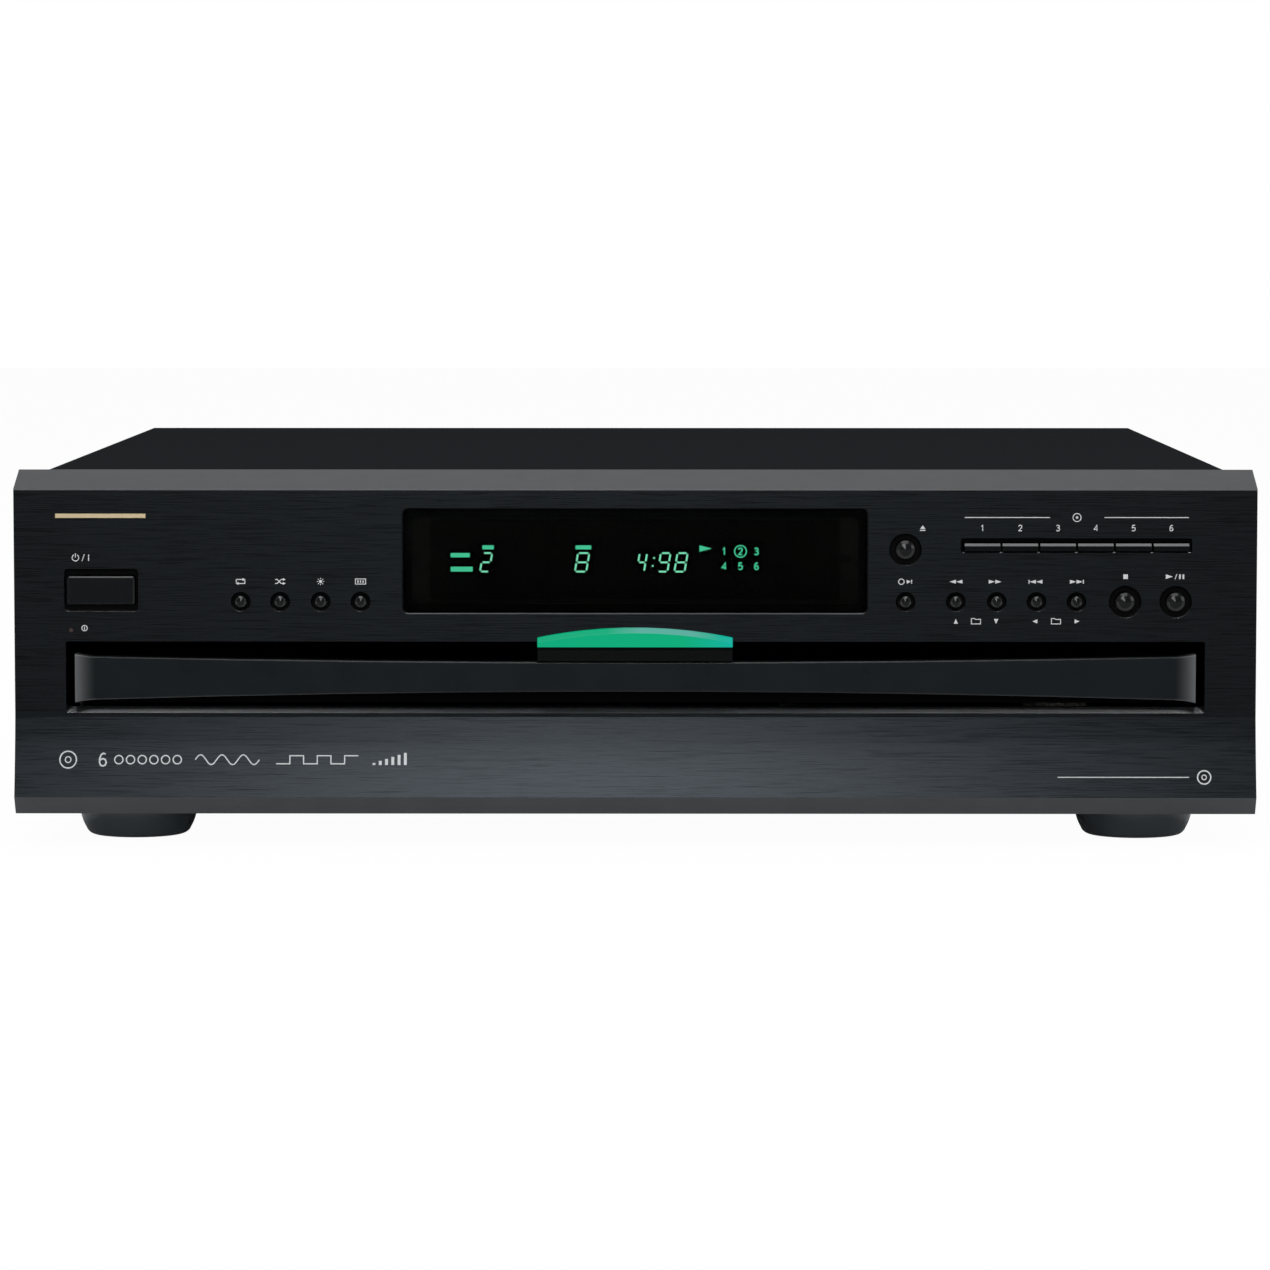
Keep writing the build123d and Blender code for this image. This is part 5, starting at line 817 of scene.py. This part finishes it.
# Power symbol with a slash and a bar, and the standby symbol beside the lamp
POWER_X, POWER_Z, POWER_R = -195.9, 101.9, 1.15
ARC_GAP, ARC_PARTS = 0.55, 28
power_turns = (ARC_GAP + (2 * math.pi - 2 * ARC_GAP) * part / ARC_PARTS
               for part in range(ARC_PARTS + 1))
stroke(marks, [(POWER_X + POWER_R * math.sin(turn), POWER_Z + POWER_R * math.cos(turn))
               for turn in power_turns], 0.3)
box_at(marks, POWER_X, 102.7, 0.3, 1.5)
box_at(marks, -193.2, POWER_Z, 0.26, 2.4, 0.35)
box_at(marks, -191.3, POWER_Z, 0.34, 2.2)
STANDBY_X, STANDBY_Z = -192.9, 77.2
ring(marks, STANDBY_X, STANDBY_Z, 0.95, 0.28)
box_at(marks, STANDBY_X, STANDBY_Z, 0.3, 1.1)

film("front_marks", scaled(marks), "chassis", white_ink, on_plate)

badge = bmesh.new()
box_at(badge, -187.1, 116.6, 31.6, 1.5)
film("badge_bar", scaled(badge), "chassis", gold_ink, on_plate)


def wave(x0, z, height, step_count, steps_per_turn):
    """Points along a sine wave that runs to the right from x0."""
    return [(x0 + 0.5 * step, z + height * math.sin(2 * math.pi * step / steps_per_turn))
            for step in range(step_count + 1)]


# Marks along the lower edge: disc, six rings, two waves, rising bars, a rule and a ring
lower = bmesh.new()
LOWER_Z, LOWER_LINE = 31.1, 0.4
ring(lower, -198.8, LOWER_Z, 2.9, 0.45)
ring(lower, -198.8, LOWER_Z, 1.0, 0.35)
numeral(lower, DISCS, -186.6, LOWER_Z, 4.4, 0.5)
for index in range(DISCS):
    ring(lower, -181.0 + 4.1 * index, LOWER_Z, 1.45, LOWER_LINE)
stroke(lower, wave(-154.2, LOWER_Z, 1.7, 45, 15), LOWER_LINE)
SQUARE_X, SQUARE_STEP = -125.8, 4.8
square = []
for step in range(6):
    level = 32.5 if step % 2 else 29.7
    start = SQUARE_X + SQUARE_STEP * step
    square += [(start, level), (start + SQUARE_STEP, level)]
stroke(lower, square, LOWER_LINE)
BAR_RISE = 0.7
for index in range(1, 7):
    box_at(lower, -93.7 + 2.2 * index, 29.3 + BAR_RISE / 2 * index, 1.0, BAR_RISE * index)
RULE_Z, END_RING_X = 25.2, 199.3
box_at(lower, 171.0, RULE_Z, 46.0, 0.3)
ring(lower, END_RING_X, RULE_Z, 2.3, 0.45)
ring(lower, END_RING_X, RULE_Z, 0.8, 0.35)
film("lower_marks", scaled(lower), "chassis", white_ink, on_plate, plate_low.z)

# Display: lit figures and plain bars on the tube, as the camera sees them through the pane
figures = bmesh.new()
FIGURE_Z = (96.8, 103.9)
for name, x0, x1 in (("2", -54.6, -49.6), ("8", -21.4, -15.6), ("4", 0.2, 4.6),
                     ("9", 7.6, 12.8), ("8", 13.4, 18.8)):
    figure(figures, name, x0, x1, *FIGURE_Z, 0.62, 0.17)
box_at(figures, 6.2, 99.1, 0.6, 0.6)
box_at(figures, 6.7, 101.9, 0.6, 0.6)
film("display_figures", scaled(figures), "chassis", segment_bright, on_tube)

bars = bmesh.new()
for x0, x1, z0, z1 in ((-64.5, -57.8, 102.1, 103.6), (-64.5, -56.8, 97.1, 98.8),
                       (-53.4, -49.4, 104.9, 106.3), (-20.8, -15.3, 104.9, 106.3)):
    box_from(bars, x0, x1, z0, z1)
arrow(bars, 24.7, 105.2, 4.3, 2.3, RIGHT)
DISC_X, DISC_Z = (31.2, 36.9, 42.5), (104.2, 99.0)
for index, (z, x) in enumerate(((z, x) for z in DISC_Z for x in DISC_X), start=1):
    numeral(bars, index, x, z, 2.3, 0.5)
ring(bars, DISC_X[1], DISC_Z[0], 2.05, 0.42)
film("display_bars", scaled(bars), "chassis", segment_bar, on_tube)

# Back of the case: frames round the sockets, arrows and a wave beside the power inlet
AUDIO_X = (148.0, 166.0)
AUDIO_Z = (62.0, 80.0)
COAX_X = 124.0
OPTICAL_X = 102.0
REMOTE_X = (66.0, 80.0)
REMOTE_Z = 62.0
INLET_X, INLET_Z = -168.0, 70.0
rear = bmesh.new()
for x0, x1, z0, z1 in ((138.5, 175.5, 52.5, 94.0), (92.5, 133.5, 52.5, 76.0),
                       (60.8, 85.2, 53.5, 76.0), (-184.0, -152.0, 57.5, 89.0)):
    stroke(rear, [(-x0, z0), (-x0, z1), (-x1, z1), (-x1, z0)], 0.35, closed=True)
for x, z in ((AUDIO_X[0], 90.5), (AUDIO_X[1], 90.5), (COAX_X, 73.0), (OPTICAL_X, 73.0)):
    arrow(rear, -x, z, 2.4, 2.4, UP)
for index, x in enumerate(REMOTE_X, start=1):
    numeral(rear, index, -x, 72.0, 3.0, 0.45)
stroke(rear, wave(-INLET_X - 5, 84.5, 1.5, 20, 20), 0.45)
film("rear_marks", scaled(rear), "chassis", rear_ink, on_panel)

# Plain numbers beside the wells
UPWARD = Vector((0, 0, 1))
number_place = sum(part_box("carousel"), Vector()) / 2
number_place.z = 62.0 * MM


def on_carousel(inward):
    """Places on the carousel's top, where z runs inward to the axle and x across that."""
    right = inward.cross(UPWARD)
    return lambda x, z: (number_place + right * x + inward * z, UPWARD)


for disc in range(1, DISCS + 1):
    turn = math.pi / 2 + math.pi / 3 * (disc - 1)
    number = bmesh.new()
    numeral(number, disc, 0, -54.5, 9.0, 1.3)
    film(f"well_number_{disc}", scaled(number), "carousel", raised_mark,
         on_carousel(-Vector((math.cos(turn), math.sin(turn), 0))))


# Screws and sockets

heads = bmesh.new()
cover_low, cover_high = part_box("top_cover")
screw_low, screw_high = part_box("cover_screws")
SCREW_R = 3.5 * MM
SCREW_T = 1.8 * MM
side_y = (cover_low.y + 45 * MM, cover_high.y - 45 * MM)
side_z = screw_low.z + SCREW_R
for y in side_y:
    for side in (-1, 1):
        screw(heads, Vector((side * cover_high.x, y, side_z)), Vector((side, 0, 0)),
              SCREW_R, SCREW_T)
for x in (-167.6, 0, 167.6):
    seat = Vector((x * MM, cover_high.y, screw_high.z - SCREW_R))
    screw(heads, seat, BACKWARD, SCREW_R, SCREW_T)
piece("cover_screw_heads", heads, "chassis", screw_steel, ["cover_screws"])

small_heads = bmesh.new()
for x, z in ((-200, 24), (-100, 24), (0, 24), (100, 24), (200, 24), (135.9, 71), (113, 71),
             (88.8, 64.5), (54, 64.5), (-186.5, 70), (-149.5, 70), (157, 71)):
    screw(small_heads, Vector((x * MM, PANEL_Y, z * MM)), BACKWARD, 2.2 * MM, 1.3 * MM)
piece("panel_screw_heads", small_heads, "chassis", screw_steel)

# Phono sockets: a ring against the panel, a plated sleeve and a coloured insert in it
jack_reach = (cad_high.y - PANEL_Y) / MM
JACK_RING = [(5.75, 0), (5.75, 0.7), (5.45, 1.0), (4.2, 1.0), (4.2, 0)]
JACK_SLEEVE = [(4.15, 0.2), (4.15, jack_reach - 0.35), (3.9, jack_reach), (3.5, jack_reach),
               (3.3, jack_reach - 0.2), (3.3, 0.2)]
JACK_INSERT = [(0, 0.2), (3.25, 0.2), (3.25, jack_reach - 0.9), (2.1, jack_reach - 0.9),
               (1.75, jack_reach - 1.2), (1.75, 1.5), (0, 1.5)]
INSERTS = {
    "white": ((0.62, 0.62, 0.60), [(x, AUDIO_Z[1]) for x in AUDIO_X]),
    "red": ((0.45, 0.02, 0.02), [(x, AUDIO_Z[0]) for x in AUDIO_X]),
    "orange": ((0.60, 0.19, 0.02), [(COAX_X, AUDIO_Z[0])]),
}


def in_metres(profile):
    """A profile of (radius, height) pairs in millimetres, in metres."""
    return [(radius * MM, height * MM) for radius, height in profile]


def on_jacks(shape, places, *profiles):
    """Turn the profiles about each socket's axis."""
    for x, z in places:
        for profile in profiles:
            turned(shape, in_metres(profile), Vector((x * MM, PANEL_Y, z * MM)), BACKWARD)


sleeves = bmesh.new()
for color, places in INSERTS.values():
    on_jacks(sleeves, places, JACK_RING, JACK_SLEEVE)
piece("phono_sleeves", sleeves, "chassis", metal("sleeve_nickel", (0.62, 0.60, 0.56), 0.25),
      ["audio_jacks"])
for color_name, (color, places) in INSERTS.items():
    insert = bmesh.new()
    on_jacks(insert, places, JACK_INSERT)
    piece(f"phono_insert_{color_name}", insert, "chassis",
          moulded(f"insert_{color_name}", color, 0.4))

# Dark sheet behind the vents as painted shade, so that they look deep, and the bodies of the phono
# sockets behind the panel
vent_shade = bmesh.new()
block(vent_shade, (-66 * MM, PANEL_Y - 3.2 * MM, 38 * MM), (55 * MM, PANEL_Y - 2.4 * MM, 74 * MM))
piece("vent_shade_sheet", vent_shade, "chassis",
      moulded("vent_shade_black", (0.001, 0.001, 0.001), 0.8, specular=0.02))

blocks = bmesh.new()
audio_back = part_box("audio_jacks")[0].y
for x0, x1, z1 in ((139, 175, 89), (115, 133, 71)):
    block(blocks, (x0 * MM, audio_back, 53 * MM), (x1 * MM, panel_low.y, z1 * MM))
piece("phono_blocks", blocks, "chassis", socket_black)

# Contact rings in the remote sockets, and the pins of the power inlet
remote_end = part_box("remote_jacks")[1].y


def on_remote(x, z):
    """Point on the end of the remote sockets."""
    return Vector((x, remote_end, z)), BACKWARD


contacts = bmesh.new()
for x in REMOTE_X:
    ring(contacts, x, REMOTE_Z, 2.35, 0.9)
film("remote_rings", scaled(contacts), "chassis", metal("ring_nickel", (0.6, 0.59, 0.56), 0.25),
     on_remote)

pins = bmesh.new()
for side in (-1, 1):
    root = Vector(((INLET_X + side * 4.3) * MM, PANEL_Y - 10.8 * MM, INLET_Z * MM))
    turned(pins, in_metres([(0, 0), (1.23, 0), (1.23, 9.2), (0.9, 9.75), (0, 9.85)]), root,
           BACKWARD, 24)
piece("inlet_pins", pins, "chassis", metal("pin_nickel", (0.62, 0.61, 0.58), 0.25))


# Floor, backdrop, lamps and camera

def from_camera(material_or_world):
    """1 for rays that come straight from the camera."""
    return node(material_or_world, "ShaderNodeLightPath").outputs["Is Camera Ray"]


AMBIENT = 0.30
world = bpy.data.worlds.new("studio")
bpy.context.scene.world = world
world.use_nodes = True
backdrop = world.node_tree.nodes["Background"]
backdrop.inputs["Color"].default_value = (1, 1, 1, 1)
link(world, spread(world, from_camera(world), AMBIENT, 1.0, 0.0, 1.0),
     backdrop.inputs["Strength"])

FLOOR_HALF = 6.0
FLOOR_WHITE = 0.97
floor_mesh = bpy.data.meshes.new("floor")
corners = [(-FLOOR_HALF, -FLOOR_HALF, 0), (FLOOR_HALF, -FLOOR_HALF, 0),
           (FLOOR_HALF, FLOOR_HALF, 0), (-FLOOR_HALF, FLOOR_HALF, 0)]
floor_mesh.from_pydata(corners, [], [(0, 1, 2, 3)])
add_object("floor", floor_mesh)
floor_paint = surface("floor_white", (0.8, 0.8, 0.8), 0.7, specular=0.0)
white = node(floor_paint, "ShaderNodeEmission", {"Color": (1, 1, 1, 1), "Strength": 1.0})
share = maths(floor_paint, "MULTIPLY", from_camera(floor_paint), FLOOR_WHITE)
mixed = node(floor_paint, "ShaderNodeMixShader",
             {0: share, 1: shader_of(floor_paint).outputs[0], 2: white.outputs[0]})
link(floor_paint, mixed.outputs[0],
     floor_paint.node_tree.nodes["Material Output"].inputs["Surface"])
floor_mesh.materials.append(floor_paint)


def aim_at(holder, place, target):
    """Put a lamp or camera at a place and point it at a target."""
    holder.location = place
    holder.rotation_mode = "QUATERNION"
    holder.rotation_quaternion = (Vector(target) - Vector(place)).to_track_quat("-Z", "Y")


def soft_box(name, place, target, width, height, brightness):
    """Rectangular lamp of this brightness, whatever its size."""
    lamp = bpy.data.lights.new(name, "AREA")
    lamp.shape = "RECTANGLE"
    lamp.size, lamp.size_y = width, height
    lamp.energy = brightness * width * height * math.pi
    aim_at(add_object(name, lamp), place, target)


soft_box("lamp_top", (0, 0.4, 2.0), (0, 0.2, 0), 2.2, 1.1, 1.7)
soft_box("lamp_strip", (0, -0.42, 2.0), (0, -0.2, 0.06), 1.8, 0.4, 5.5)
soft_box("lamp_over_front", (0, -1.6, 1.9), (0, -0.2, 0.06), 1.8, 0.6, 3.0)
soft_box("lamp_front", (-0.06, -2.6, 1.15), (0, -0.2, 0.05), 0.45, 1.5, 22.0)
soft_box("lamp_left", (-2.2, -1.3, 0.8), (0, 0, 0.06), 0.8, 1.2, 1.6)
soft_box("lamp_right", (2.2, -1.3, 0.8), (0, 0, 0.06), 0.8, 1.2, 2.2)
soft_box("lamp_back", (0, 2.0, 2.1), (0, 0, 0.06), 1.6, 0.9, 0.6)

camera_data = bpy.data.cameras.new("camera")
camera_data.lens = CAMERA_LENS
camera_data.sensor_width = 36.0
camera = add_object("camera", camera_data)
aim_at(camera, CAMERA, CAMERA_TARGET)
bpy.context.scene.camera = camera
bpy.context.scene.view_settings.view_transform = "Standard"
